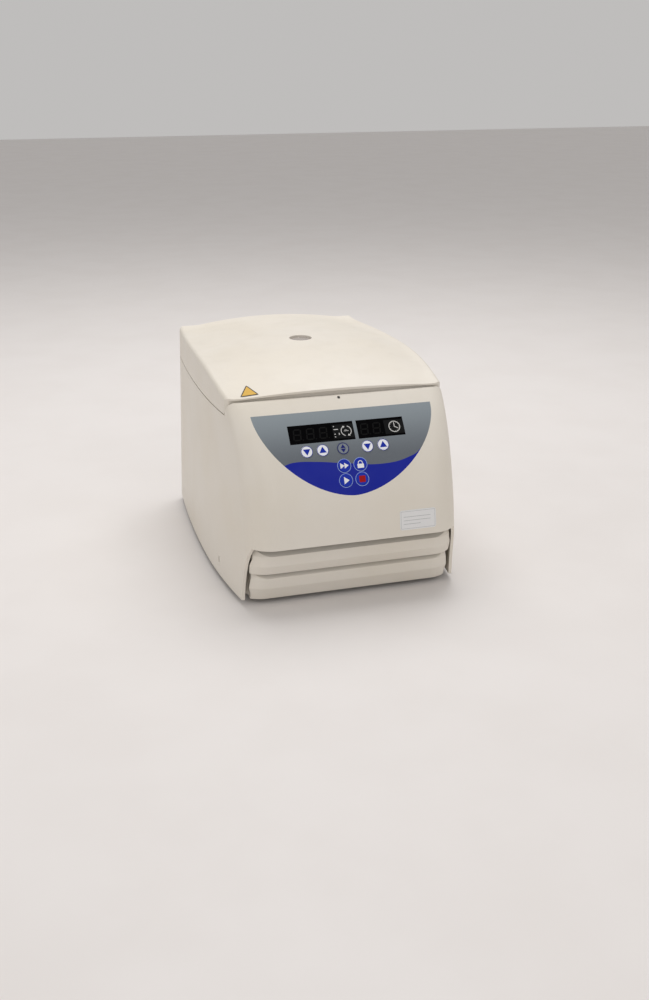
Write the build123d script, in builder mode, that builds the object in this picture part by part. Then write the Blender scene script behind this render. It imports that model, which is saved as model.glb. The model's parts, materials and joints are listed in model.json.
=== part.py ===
from build123d import *
import math
import os

os.makedirs("parts", exist_ok=True)

# Benchtop microcentrifuge, millimetres. +Z is up and the control panel looks along -Y.
# The origin is the middle of the footprint, on the bench.

# ---- Driving dimensions of the casing ----
HALF_WIDTH = 121.5          # widest half-width, at the bottom edge of the casing
WIDEST_Y = -22.5            # where the bowed sides stand widest
SIDE_DRAFT = 0.02475        # half-width lost per mm of height
SIDE_R_BACK = 1870          # bow of the sides behind the widest place
SIDE_R_FRONT = 790          # bow of the sides in front of it
BACK_Y = 173.5              # moulded back of the casing
BACK_CORNER_R = 5
FRONT_R = 176.5             # the front is one arc in side view
FRONT_CY = 0.16
FRONT_CZ = 56
FRONT_TOP_Z = 196.8         # straight top edge of the front
CORNER_R = 28               # plan radius of the front corners
WALL = 3
BOTTOM_Z = 6
CHIN_Z = 67                 # lower edge of the one-piece front, above the air intake
DECK_Z = 171                # top of the deck that the bowl hangs from
SEAM_BACK_Z = 178           # top of the side walls at the back
SEAM_FRONT_Z = 182.6        # and just behind the front
SEAM_FRONT_Y = -96
SEAM_GAP = 1.0

# ---- Hinge ----
HINGE_Y = 169
HINGE_Z = 176
KNUCKLE_R = 4.4
PIN_R = 1.5
RUN_FIT = 0.05              # radial clearance of a running fit

# ---- Lid ----
LIP_Y = -102.5              # front lip of the lid
LINER_Z = 182               # underside of the liner plate
PORT_Y = 28.7
PORT_R = 12.2
PORT_TOP_Z = 223.4          # glass of the viewing port, just under the crest
PORT_LEDGE_Z = 219          # ledge that the glass sits on

# ---- Rotor and drive, all about one upright axis ----
ROTOR_Y = 28.7
ROTOR_R = 84
BOWL_R = 90
BOWL_WALL = 1.2
BOWL_FLOOR_Z = 104
SHAFT_R = 6
WELLS = 24
WELL_R = 5.6
AXLE = Axis((0, ROTOR_Y, 0), (0, 0, 1))
AXLE_PLANE = Plane((0, ROTOR_Y, 0), x_dir=(1, 0, 0), z_dir=(0, -1, 0))

# ---- Control panel ----
FOIL_TOP_Z = 186.1
FOIL_HALF_WIDTH = 93.2
FOIL_DROP = 88.8            # length of the foil down the curved face
FOIL_POWER = 1.75           # roundness of the foil's lower edge
FOIL_THICK = 0.5
DISPLAY_TOP_Z = 176.3
DISPLAY_LOW_Z = 161.2
DISPLAYS = ((-59.4, 7.2), (10.6, 59.4))
ROW_KEY_R = 5.9
GRID_KEY_R = 6.3
KEY_GAP = 0.2
KEY_PROUD = 0.5
KEY_ROW_Z = 154.5
KEYS = {
    "key_speed_down": (-44.3, KEY_ROW_Z, ROW_KEY_R),
    "key_speed_up": (-28.2, KEY_ROW_Z, ROW_KEY_R),
    "key_mode": (-7.4, KEY_ROW_Z, ROW_KEY_R),
    "key_time_down": (17.7, KEY_ROW_Z, ROW_KEY_R),
    "key_time_up": (34.0, KEY_ROW_Z, ROW_KEY_R),
    "key_quick_run": (-9.0, 139.8, GRID_KEY_R),
    "key_open": (7.6, 139.8, GRID_KEY_R),
    "key_start": (-9.0, 126.8, GRID_KEY_R),
    "key_stop": (7.6, 126.8, GRID_KEY_R),
}

# ---- Latch ----
LATCH_Y = -98
LATCH_Z = 147
LATCH_SWING = 20            # degrees from released to hooked
STRIKER_Y = -84.5

# ---- Rear panel ----
PANEL_BACK = 175            # outer face of the sheet-metal panel
REAR_LIMIT = 176            # outermost face of the fittings on it
INLET_X = -62
INLET_Z = 48
SWITCH_X = -18
SWITCH_Z = 48
ROCKER_TILT = 8


def save(builder, name):
    """Label a finished piece and write its file."""
    builder.part.label = name
    export_step(builder.part, f"parts/{name}.step")


# ---------------------------------------------------------------- casing form


def half_width(y, z):
    """Outer half-width of the casing at depth y and height z."""
    bow = SIDE_R_BACK if y > WIDEST_Y else SIDE_R_FRONT
    return HALF_WIDTH - SIDE_DRAFT * (z - BOTTOM_Z) - (y - WIDEST_Y) ** 2 / (2 * bow)


def front_y(z, depth=0.0):
    """Front face at height z, or the surface a given depth under it."""
    rise = max(z - FRONT_CZ, 0)
    return FRONT_CY - math.sqrt((FRONT_R - depth) ** 2 - rise ** 2)


def corner_radius(z):
    """Plan radius of the front corners, tighter towards the lid."""
    return CORNER_R - 0.18 * max(z - 130, 0)


def plan(z, front, inset=0.0, corner=None, back=BACK_Y):
    """Plan outline of the casing at one height, pulled in by an inset on the sides and back."""
    corner = corner_radius(z) if corner is None else corner
    rear = back - inset
    front_mid = (front + WIDEST_Y) / 2
    rear_mid = (rear + WIDEST_Y) / 2
    with BuildSketch(Plane.XY.offset(z)) as section:
        with BuildLine():
            for side in (-1, 1):
                nose = (side * (half_width(front, z) - inset), front)
                waist = (side * (half_width(WIDEST_Y, z) - inset), WIDEST_Y)
                tail = (side * (half_width(rear, z) - inset), rear)
                ThreePointArc(nose, (side * (half_width(front_mid, z) - inset), front_mid), waist)
                ThreePointArc(waist, (side * (half_width(rear_mid, z) - inset), rear_mid), tail)
            Line((-half_width(front, z) + inset, front), (half_width(front, z) - inset, front))
            Line((-half_width(rear, z) + inset, rear), (half_width(rear, z) - inset, rear))
        make_face()
        fillet(section.vertices().group_by(Axis.Y)[0], corner - inset)
        fillet(section.vertices().group_by(Axis.Y)[-1], max(BACK_CORNER_R - inset / 2, 1))
    return section.sketch


def side_cut(points, mode):
    """Cut or keep the part by a closed (y, z) outline that runs right across it."""
    with BuildSketch(Plane.YZ) as outline:
        with BuildLine():
            Polyline(*points, close=True)
        make_face()
    extrude(outline.sketch, amount=HALF_WIDTH + 10, both=True, mode=mode)


def block(low, high, mode=Mode.ADD):
    """Box between two corners."""
    middle = [(a + b) / 2 for a, b in zip(low, high)]
    size = [b - a for a, b in zip(low, high)]
    with Locations(tuple(middle)):
        Box(*size, mode=mode)


def turned(*points, mode=Mode.ADD):
    """Revolve a closed (radius, height) profile about the drive axis."""
    with BuildSketch(AXLE_PLANE) as profile:
        with BuildLine():
            Polyline(*points, close=True)
        make_face()
    revolve(profile.sketch, axis=AXLE, mode=mode)


def upright(x, y, low, high, radius, mode=Mode.ADD):
    """Upright cylinder between two heights."""
    with BuildSketch(Plane.XY.offset(low)) as disc:
        with Locations((x, y)):
            Circle(radius)
    extrude(disc.sketch, amount=high - low, mode=mode)


def crosswise(left, right, y, z, radius, mode=Mode.ADD):
    """Cylinder along X between two places."""
    with BuildSketch(Plane.YZ.offset(left)) as disc:
        with Locations((y, z)):
            Circle(radius)
    extrude(disc.sketch, amount=right - left, mode=mode)


def face_plane(u, z, depth=0.0):
    """Plane on the curved front, u across and z up, with its normal pointing out."""
    lean = math.asin((z - FRONT_CZ) / FRONT_R)
    normal = (0, -math.cos(lean), math.sin(lean))
    reach = FRONT_R - depth
    origin = (u, FRONT_CY + reach * normal[1], FRONT_CZ + reach * normal[2])
    return Plane(origin, x_dir=(1, 0, 0), z_dir=normal)


def face_skin(depth, proud=0.0):
    """Skin of the curved front between a depth and a height over its surface."""
    with BuildSketch(Plane.YZ) as band:
        with Locations((FRONT_CY, FRONT_CZ)):
            Circle(FRONT_R + proud)
            Circle(FRONT_R - depth, mode=Mode.SUBTRACT)
        with Locations((FRONT_CY, FRONT_CZ - FRONT_R)):
            Rectangle(4 * FRONT_R, 2 * FRONT_R, mode=Mode.SUBTRACT)
    extrude(band.sketch, amount=FOIL_HALF_WIDTH + 5, both=True)


def foil_outline():
    """Front view of the control foil: straight on top and one rounded sweep below."""
    top_lean = math.asin((FOIL_TOP_Z - FRONT_CZ) / FRONT_R)
    points = []
    for step in range(0, 25):
        turn = math.pi * step / 24
        u = math.copysign(abs(math.cos(turn)) ** (2 / FOIL_POWER), math.cos(turn)) * FOIL_HALF_WIDTH
        drop = math.sin(turn) ** (2 / FOIL_POWER) * FOIL_DROP
        points.append((u, FRONT_CZ + FRONT_R * math.sin(top_lean - drop / FRONT_R)))
    with BuildLine() as edge:
        Spline(*points)
        Line(points[-1], points[0])
    make_face(edge.edges())


def display_outline(inset=0.0, mode=Mode.ADD):
    """Front view of the two display windows."""
    for left, right in DISPLAYS:
        with Locations(((left + right) / 2, (DISPLAY_TOP_Z + DISPLAY_LOW_Z) / 2)):
            Rectangle(right - left - 2 * inset, DISPLAY_TOP_Z - DISPLAY_LOW_Z - 2 * inset, mode=mode)


def key_holes(depth):
    """Round holes for the keys, each square to the face."""
    for u, z, radius in KEYS.values():
        with BuildSketch(face_plane(u, z, -2)) as hole:
            Circle(radius + KEY_GAP)
        extrude(hole.sketch, amount=-depth - 2, mode=Mode.SUBTRACT)


def edge_region(far_y, x=0.0, shift=0.0):
    """Side view of what lies between the curved front edge of the sides and a far depth."""
    top = (-163 - shift, CHIN_Z)
    foot = (-146.5 - shift, BOTTOM_Z - 1)
    with BuildSketch(Plane.YZ.offset(x)) as region:
        with BuildLine():
            ThreePointArc(top, (-152 - shift, 40), foot)
            Polyline(foot, (far_y, BOTTOM_Z - 1), (far_y, CHIN_Z), top)
        make_face()
    return region.sketch


LEVELS = (BOTTOM_Z, 56, 90, 120, 145, 165, 180, 190, 200)

# ---------------------------------------------------------------- housing shell

with BuildPart() as foil_pocket:
    face_skin(FOIL_THICK, proud=2)
    with BuildSketch(Plane.XZ) as foil_view:
        foil_outline()
    extrude(foil_view.sketch, amount=200, mode=Mode.INTERSECT)

with BuildPart() as housing_shell:
    loft([plan(level, front_y(level)) for level in LEVELS])
    # The lid rests over this line, and the round ends at the back are the hinge's end caps.
    side_cut(
        (
            (-200, FRONT_TOP_Z),
            (-103.5, FRONT_TOP_Z),
            (SEAM_FRONT_Y, SEAM_FRONT_Z),
            (HINGE_Y - 5.4, SEAM_BACK_Z),
            (HINGE_Y - 5.4, DECK_Z + 0.5),
            (HINGE_Y - 4, DECK_Z + 0.5),
            (HINGE_Y - KNUCKLE_R, HINGE_Z),
            (HINGE_Y - 3.1, HINGE_Z + 3.1),
            (HINGE_Y, HINGE_Z + KNUCKLE_R),
            (HINGE_Y + 3.1, HINGE_Z + 3.1),
            (HINGE_Y + KNUCKLE_R, HINGE_Z),
            (HINGE_Y + 4, DECK_Z + 0.5),
            (200, DECK_Z + 0.5),
            (200, 0),
            (-200, 0),
        ),
        Mode.INTERSECT,
    )

with BuildPart() as shell_hollow_low:
    loft([plan(level, front_y(level, WALL), inset=WALL) for level in (-2, 56, 90, 120, 145, DECK_Z - WALL)])

with BuildPart() as shell_hollow_high:
    loft([plan(level, front_y(level, WALL), inset=WALL) for level in (DECK_Z, 180, 190, 202)])

with BuildPart() as housing_body:
    add(housing_shell.part)
    add(shell_hollow_low.part, mode=Mode.SUBTRACT)
    add(shell_hollow_high.part, mode=Mode.SUBTRACT)
    # Nothing stands between the hinge's end caps.
    block((-104, 160, DECK_Z + 0.5), (104, 200, 190), Mode.SUBTRACT)
    # The front stops above the air intake and the sides end in a slanted edge beside it.
    extrude(edge_region(-200), amount=HALF_WIDTH + 10, both=True, mode=Mode.SUBTRACT)
    add(foil_pocket.part, mode=Mode.SUBTRACT)
    key_holes(12)
    with BuildSketch(Plane.XZ.offset(60)):
        display_outline(inset=1.5)
    extrude(amount=140, mode=Mode.SUBTRACT)
    # Bowl opening, the striker's slot and the opening for the rear panel.
    upright(0, ROTOR_Y, DECK_Z - 10, DECK_Z + 5, BOWL_R + BOWL_WALL + 0.8, Mode.SUBTRACT)
    block((-11, -92, DECK_Z - 10), (11, -77, DECK_Z + 5), Mode.SUBTRACT)
    block((-86, 160, 28), (86, 180, 152), Mode.SUBTRACT)
    # Slots at the sides for the tray's release tabs, each over a small sink mark.
    for slot_y in (-77, 138):
        for slot_z, slot_height in ((22.5, 7.5), (16.2, 1.8)):
            with BuildSketch(Plane.YZ):
                with Locations((slot_y, slot_z)):
                    RectangleRounded(2.4 if slot_height > 2 else 1.8, slot_height, 0.85)
            extrude(amount=HALF_WIDTH + 10, both=True, mode=Mode.SUBTRACT)
save(housing_body, "housing_shell")

# ---------------------------------------------------------------- front air intake

# Height and front of each slat's levels, from its foot to its crease to its top
SLATS = (
    ((BOTTOM_Z, -150), (19, -155.8), (30, -156.6), (36.5, -154)),
    ((36.5, -160.5), (46, -165), (57, -165.6), (CHIN_Z - 1, -162)),
)
SLAT_INSET = 0.8
SLAT_SLOPE = 0.8            # rise of a slat's top towards the back
SPINE_Y = -143

with BuildPart() as slats:
    for levels in SLATS:
        loft([plan(z, y, inset=SLAT_INSET) for z, y in levels], ruled=True)
        top_z, top_y = levels[2][0], levels[2][1]
        reach = 60
        side_cut(((top_y - 20, top_z - 20 * SLAT_SLOPE), (top_y + reach, top_z + reach * SLAT_SLOPE),
                  (top_y + reach, 110), (top_y - 20, 110)), Mode.SUBTRACT)
    # The ends stop at the casing's curved side edges; the rest reaches back to the spine.
    for side in (-1, 1):
        extrude(edge_region(-60, side * 103, shift=0.5), amount=side * 30, mode=Mode.SUBTRACT)
    side_cut(((SPINE_Y + 2.5, 110), (200, 110), (200, -5), (SPINE_Y + 2.5, -5)), Mode.SUBTRACT)
with BuildPart() as slat_hollows:
    for levels in SLATS:
        low_z, low_y = levels[0]
        top_z, top_y = levels[2]
        loft([plan(low_z, low_y + 3, inset=10), plan(top_z - 4, top_y + 3, inset=10)])
with BuildPart() as grille_spine:
    extrude(plan(BOTTOM_Z, SPINE_Y, inset=9), amount=CHIN_Z - BOTTOM_Z - 1)
    extrude(plan(BOTTOM_Z, SPINE_Y + 2.5, inset=11.5), amount=CHIN_Z, mode=Mode.SUBTRACT)
    side_cut(((-131, 110), (200, 110), (200, -5), (-131, -5)), Mode.SUBTRACT)
with BuildPart() as front_grille:
    add(slats.part)
    add(slat_hollows.part, mode=Mode.SUBTRACT)
    add(grille_spine.part)
save(front_grille, "front_grille")

# ---------------------------------------------------------------- base tray, feet and fasteners

FEET = ((-88, -112), (88, -112), (-88, 148), (88, 148))
POSTS = ((-62, ROTOR_Y - 42), (62, ROTOR_Y - 42), (0, ROTOR_Y + 75))
TRAY_TOP = 9

with BuildPart() as base_tray:
    extrude(plan(BOTTOM_Z, -129.5, inset=WALL + 0.4, corner=20), amount=TRAY_TOP - BOTTOM_Z)
    for x, y in POSTS:
        upright(x, y, TRAY_TOP - 0.5, 20, 7)
    for x, y in FEET:
        upright(x, y, 0, 20, 2.1, Mode.SUBTRACT)
    # Cooling slots in the floor, behind the intake.
    with BuildSketch():
        with GridLocations(14, 0, 9, 1):
            with Locations((0, -108)):
                SlotOverall(30, 5, rotation=90)
    extrude(amount=20, mode=Mode.SUBTRACT)
save(base_tray, "base_tray")

with BuildPart() as feet:
    for x, y in FEET:
        upright(x, y, 0, BOTTOM_Z, 9)
    chamfer(feet.edges().filter_by(GeomType.CIRCLE).group_by(Axis.Z)[0], 1.2)
    for x, y in FEET:
        upright(x, y, 2.5, BOTTOM_Z, 4.2, Mode.SUBTRACT)
save(feet, "feet")

with BuildPart() as foot_screws:
    for x, y in FEET:
        upright(x, y, 2.6, 5.4, 3.9)
        upright(x, y, 5.4, 14, 2.1)
        upright(x, y, 2.6, 4.2, 1.6, Mode.SUBTRACT)
save(foot_screws, "foot_screws")

# ---------------------------------------------------------------- chamber

with BuildPart() as chamber_bowl:
    upright(0, ROTOR_Y, BOWL_FLOOR_Z, DECK_Z + 1, BOWL_R + BOWL_WALL)
    fillet(chamber_bowl.edges().group_by(Axis.Z)[0], 14)
    upright(0, ROTOR_Y, DECK_Z, DECK_Z + BOWL_WALL, BOWL_R + 11)
with BuildPart() as bowl_space:
    upright(0, ROTOR_Y, BOWL_FLOOR_Z + BOWL_WALL, DECK_Z + 5, BOWL_R)
    fillet(bowl_space.edges().group_by(Axis.Z)[0], 13)
with BuildPart() as bowl:
    add(chamber_bowl.part)
    add(bowl_space.part, mode=Mode.SUBTRACT)
    upright(0, ROTOR_Y, BOWL_FLOOR_Z, BOWL_FLOOR_Z + 5, 20)
    upright(0, ROTOR_Y, BOWL_FLOOR_Z - 5, BOWL_FLOOR_Z + 10, 15, Mode.SUBTRACT)
save(bowl, "chamber_bowl")

with BuildPart() as chamber_gasket:
    turned((92, DECK_Z + BOWL_WALL), (98, DECK_Z + BOWL_WALL), (98, 175), (96.5, 177.9), (93.5, 177.9), (92, 175))
save(chamber_gasket, "chamber_gasket")

# ---------------------------------------------------------------- motor

BRACKET_Z = 28

with BuildPart() as motor_mounts:
    for x, y in POSTS:
        upright(x, y, 20, BRACKET_Z, 8)
        upright(x, y, 23, 25, 9.5)
save(motor_mounts, "motor_mounts")

with BuildPart() as motor_bracket:
    with BuildSketch(Plane.XY.offset(BRACKET_Z)):
        with BuildLine():
            Polyline((-74, ROTOR_Y - 54), (74, ROTOR_Y - 54), (74, ROTOR_Y - 30), (12, ROTOR_Y + 87),
                     (-12, ROTOR_Y + 87), (-74, ROTOR_Y - 30), close=True)
        make_face()
        with Locations((0, ROTOR_Y)):
            Circle(12, mode=Mode.SUBTRACT)
    extrude(amount=4)
    fillet(motor_bracket.edges().filter_by(Axis.Z), 5)
save(motor_bracket, "motor_bracket")

MOTOR_Z = BRACKET_Z + 4
MOTOR_TOP = 90
with BuildPart() as motor_housing:
    turned((12, MOTOR_Z), (44, MOTOR_Z), (44, MOTOR_TOP - 6), (38, MOTOR_TOP), (9, MOTOR_TOP), (9, MOTOR_TOP - 4),
           (11, MOTOR_TOP - 4), (11, MOTOR_TOP - 12), (14, MOTOR_TOP - 12), (14, MOTOR_TOP - 4.5),
           (37, MOTOR_TOP - 4.5), (41, MOTOR_TOP - 8), (41, MOTOR_Z + 3), (14, MOTOR_Z + 3),
           (14, MOTOR_Z + 12), (11, MOTOR_Z + 12), (11, MOTOR_Z + 2), (12, MOTOR_Z + 2))
save(motor_housing, "motor_housing")

with BuildPart() as motor_stator:
    turned((24, 50), (41, 50), (41, 72), (24, 72))
save(motor_stator, "motor_stator")

BEARINGS = ((MOTOR_Z + 3, MOTOR_Z + 11), (MOTOR_TOP - 11.5, MOTOR_TOP - 4.5))
with BuildPart() as motor_bearings:
    for low, high in BEARINGS:
        turned((SHAFT_R + RUN_FIT, low), (11, low), (11, high), (SHAFT_R + RUN_FIT, high))
save(motor_bearings, "motor_bearings")

with BuildPart() as drive_shaft:
    turned((0, MOTOR_Z + 2.5), (SHAFT_R, MOTOR_Z + 2.5), (SHAFT_R, 118), (4.5, 128), (4.5, 146), (0, 146))
save(drive_shaft, "drive_shaft")

with BuildPart() as motor_armature:
    turned((SHAFT_R, 49), (22.8, 49), (22.8, 73), (SHAFT_R, 73))
save(motor_armature, "motor_armature")

# ---------------------------------------------------------------- rotor

WELL_REACH = 66             # well mouths' radius
WELL_TILT = 45
WELL_DEPTH = 37

with BuildPart() as rotor:
    turned((SHAFT_R, 116), (20, 116), (24, 122), (52, 112), (80, 128), (ROTOR_R, 134), (ROTOR_R, 139),
           (56, 156), (36, 156), (30, 150), (14, 150), (14, 146), (4.5, 146), (4.5, 128), (SHAFT_R, 118))
    for count in range(WELLS):
        turn = 2 * math.pi * count / WELLS
        tilt = math.radians(WELL_TILT)
        out = (math.cos(turn), math.sin(turn))
        mouth = (WELL_REACH * out[0], ROTOR_Y + WELL_REACH * out[1], 151)
        lean = (-math.sin(tilt) * out[0], -math.sin(tilt) * out[1], math.cos(tilt))
        with BuildSketch(Plane(mouth, z_dir=(-lean[0], -lean[1], lean[2]))) as well:
            Circle(WELL_R)
        extrude(well.sketch, amount=8, mode=Mode.SUBTRACT)
        extrude(well.sketch, amount=-20, mode=Mode.SUBTRACT)
save(rotor, "rotor")

with BuildPart() as rotor_lid:
    turned((9, 158), (20, 158), (20, 156.3), (60, 156.3), (82, 143), (84, 143), (84, 145), (62, 158.3), (24, 163),
           (9, 163))
save(rotor_lid, "rotor_lid")

with BuildPart() as rotor_knob:
    turned((0, 147), (8.9, 147), (8.9, 163.4), (17, 163.4), (17, 173), (14, 176), (0, 176))
    for count in range(10):
        turn = 2 * math.pi * count / 10
        upright(18.6 * math.cos(turn), ROTOR_Y + 18.6 * math.sin(turn), 163.4, 177, 3, Mode.SUBTRACT)
save(rotor_knob, "rotor_knob")

# ---------------------------------------------------------------- control panel

with BuildPart() as panel_foil:
    face_skin(FOIL_THICK)
    with BuildSketch(Plane.XZ) as foil_front:
        foil_outline()
        display_outline(mode=Mode.SUBTRACT)
    extrude(foil_front.sketch, amount=200, mode=Mode.INTERSECT)
    key_holes(3)
save(panel_foil, "panel_foil")

with BuildPart() as display_windows:
    face_skin(FOIL_THICK)
    with BuildSketch(Plane.XZ) as window_view:
        display_outline()
    extrude(window_view.sketch, amount=200, mode=Mode.INTERSECT)
save(display_windows, "display_windows")

DISPLAY_MID_Z = (DISPLAY_TOP_Z + DISPLAY_LOW_Z) / 2
BOARD_DEPTH = 10            # control board under the face
with BuildPart() as display_modules:
    for left, right in DISPLAYS:
        with BuildSketch(face_plane((left + right) / 2, DISPLAY_MID_Z, BOARD_DEPTH)) as module:
            Rectangle(right - left - 8, 12)
        extrude(module.sketch, amount=BOARD_DEPTH - WALL - 0.8)
save(display_modules, "display_modules")

with BuildPart() as control_board:
    for z, height in ((DISPLAY_MID_Z, 14), (141, 38)):
        with BuildSketch(face_plane(0, z, BOARD_DEPTH)) as board:
            Rectangle(138, height)
        extrude(board.sketch, amount=-1.6)
    with BuildSketch(face_plane(0, 158, BOARD_DEPTH + 1.6)) as rib:
        Rectangle(138, 30)
    extrude(rib.sketch, amount=-2)
    for u, z, radius in KEYS.values():
        with BuildSketch(face_plane(u, z, BOARD_DEPTH + 1)) as tact_switch:
            Rectangle(6, 6)
        extrude(tact_switch.sketch, amount=BOARD_DEPTH - 5.6)
save(control_board, "control_board")

for key_name, (u, z, radius) in KEYS.items():
    with BuildPart() as key:
        with BuildSketch(face_plane(u, z, -KEY_PROUD)) as cap:
            Circle(radius)
        extrude(cap.sketch, amount=-4.3)
        fillet(key.edges().filter_by(GeomType.CIRCLE).sort_by(Axis.Z)[-1], 0.4)
        with BuildSketch(face_plane(u, z, 3.5)) as flange:
            Circle(radius + 0.45)
        extrude(flange.sketch, amount=-0.4)
    save(key, key_name)

with BuildPart() as blank_label:
    face_skin(0, proud=0.3)
    with BuildSketch(Plane.XZ) as label_view:
        with Locations((62, 83.2)):
            RectangleRounded(38, 19.6, 2.5)
    extrude(label_view.sketch, amount=200, mode=Mode.INTERSECT)
save(blank_label, "blank_label")

# ---------------------------------------------------------------- lid

# Depth, height of the side edge, rise of the crown and width of the flat shoulder
LID_RIBS = (
    (BACK_Y, 213.3, 7.2, 22),
    (110, 213.6, 9.0, 18),
    (66, 214.8, 9.8, 14),
    (20, 215.1, 9.9, 12),
    (-22, 213.2, 8.9, 12),
    (-66, 207.2, 6.4, 14),
    (-90, 202.6, 4.2, 16),
    (LIP_Y - 4, 199.4, 2.8, 18),
)
LID_FRONT_Y = -99.8         # set-back front wall, behind the finger recess
LID_EDGE_R = 4.5
SHOULDER_R = 60
LID_POSTS = ((-95, -62), (95, -62), (-99, 62), (99, 62), (-92, 140), (92, 140))


def lid_rib(y, edge_z, crown, shoulder, inset=0.0):
    """Cross-section of the lid at one depth: flat shoulders and a crowned middle."""
    foot_z = 170
    top_x = half_width(y, edge_z) - inset
    foot_x = half_width(y, foot_z) - inset
    rise_x = half_width(y, edge_z) - shoulder
    top_z = edge_z - inset
    with BuildSketch(Plane.XZ.offset(-y)) as rib:
        with BuildLine():
            Polyline((-rise_x, top_z), (-top_x, top_z), (-foot_x, foot_z), (foot_x, foot_z), (top_x, top_z),
                     (rise_x, top_z))
            ThreePointArc((-rise_x, top_z), (0, top_z + crown), (rise_x, top_z))
        make_face()
        corners = rib.vertices().filter_by(lambda v: v.Y > foot_z + 1)
        fillet(corners.filter_by(lambda v: abs(v.X) > rise_x + 1), LID_EDGE_R - inset / 2)
        shoulders = rib.vertices().filter_by(lambda v: abs(abs(v.X) - rise_x) < 0.01)
        fillet(shoulders, SHOULDER_R)
    return rib.sketch


def lid_profile(gap):
    """Keep what lies over the casing's seam line, a gap higher, with the hinge's round relief."""
    side_cut(
        (
            (LIP_Y, 240),
            (LIP_Y, FRONT_TOP_Z + gap),
            (SEAM_FRONT_Y + 1.3, SEAM_FRONT_Z + gap),
            (HINGE_Y - 5.4, SEAM_BACK_Z + gap),
            (BACK_Y + 10, SEAM_BACK_Z + gap),
            (BACK_Y + 10, 240),
        ),
        Mode.INTERSECT,
    )
    crosswise(-HALF_WIDTH, HALF_WIDTH, HINGE_Y, HINGE_Z, KNUCKLE_R + 0.6, Mode.SUBTRACT)


with BuildPart() as lid_form:
    loft([lid_rib(*rib) for rib in LID_RIBS])
with BuildPart() as lid_hollow:
    loft([lid_rib(*rib, inset=WALL) for rib in LID_RIBS])
    side_cut(((LIP_Y + 3, 240), (BACK_Y - WALL, 240), (BACK_Y - WALL, 100), (LIP_Y + 3, 100)),
             Mode.INTERSECT)
with BuildPart() as lid_bosses:
    for x, y in LID_POSTS:
        upright(x, y, LINER_Z + 2.6, 230, 4.5)
    upright(0, PORT_Y, PORT_LEDGE_Z - 2.6, 230, PORT_R + 4)
    block((-108, LID_FRONT_Y, LINER_Z + 2.6), (108, LID_FRONT_Y + 2.6, 230))
    add(lid_form.part, mode=Mode.INTERSECT)

with BuildPart() as lid_shell:
    add(lid_form.part)
    lid_profile(SEAM_GAP + 0.2)
    add(lid_hollow.part, mode=Mode.SUBTRACT)
    add(lid_bosses.part)
    # Rounded front corners.
    extrude(plan(LINER_Z - 10, LIP_Y, corner=12), amount=60, mode=Mode.INTERSECT)
    # The back wall stops short of the hinge barrel.
    block((-106, 160, 170), (106, 180, HINGE_Z + 5), Mode.SUBTRACT)
    # Arched finger recess under the front lip.
    with BuildSketch(Plane.XZ.offset(-LID_FRONT_Y)) as recess:
        with BuildLine():
            Line((-112, 190), (112, 190))
            Line((112, 190), (112, 198))
            ThreePointArc((112, 198), (0, 200.8), (-112, 198))
            Line((-112, 198), (-112, 190))
        make_face()
    extrude(recess.sketch, amount=30, mode=Mode.SUBTRACT)
    # Seat of the viewing port, and pilot holes in the posts.
    upright(0, PORT_Y, 210, 230, PORT_R - 1.4, Mode.SUBTRACT)
    upright(0, PORT_Y, PORT_LEDGE_Z, 230, PORT_R + 0.1, Mode.SUBTRACT)
    for x, y in LID_POSTS:
        upright(x, y, LINER_Z, 198, 1.5, Mode.SUBTRACT)
save(lid_shell, "lid_shell")

with BuildPart() as lid_liner:
    extrude(plan(LINER_Z, -92, inset=WALL + 1, corner=12), amount=2.5)
    turned((92, 178), (98, 178), (98, LINER_Z), (92, LINER_Z))
    upright(0, PORT_Y, 170, 190, PORT_R + 2.5, Mode.SUBTRACT)
    for x, y in LID_POSTS:
        upright(x, y, LINER_Z, 190, 1.6, Mode.SUBTRACT)
save(lid_liner, "lid_liner")

with BuildPart() as lid_screws:
    for x, y in LID_POSTS:
        upright(x, y, LINER_Z - 1.8, LINER_Z, 3.2)
        upright(x, y, LINER_Z, 196, 1.5)
        upright(x, y, LINER_Z - 1.8, LINER_Z - 0.8, 1.3, Mode.SUBTRACT)
save(lid_screws, "lid_screws")

with BuildPart() as port_tube:
    upright(0, PORT_Y, LINER_Z - 1.6, PORT_LEDGE_Z - 2.8, PORT_R + 2.3)
    upright(0, PORT_Y, LINER_Z - 1.6, LINER_Z, PORT_R + 6)
    upright(0, PORT_Y, 170, 230, PORT_R - 1.4, Mode.SUBTRACT)
save(port_tube, "port_tube")

with BuildPart() as port_window:
    upright(0, PORT_Y, PORT_LEDGE_Z, PORT_TOP_Z, PORT_R)
    chamfer(port_window.edges().group_by(Axis.Z)[-1], 0.5)
save(port_window, "port_window")

with BuildPart() as lid_striker:
    block((-8, STRIKER_Y - 1.5, 156.8), (8, STRIKER_Y + 1.5, LINER_Z))
    block((-8, STRIKER_Y - 7, LINER_Z - 1.6), (8, STRIKER_Y + 7, LINER_Z))
    block((-6, -100, 159.4), (6, -70, 165.8), Mode.SUBTRACT)
    fillet(lid_striker.edges().filter_by(Axis.Y).group_by(Axis.Z)[0], 2)
save(lid_striker, "lid_striker")

# ---------------------------------------------------------------- hinge

ARM_X = (-50, 50)           # knuckles on the lid
ARM_HALF = 15
BRACKET_SPANS = ((-98, -72), (-18, 18), (72, 98))   # knuckles on the casing

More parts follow.
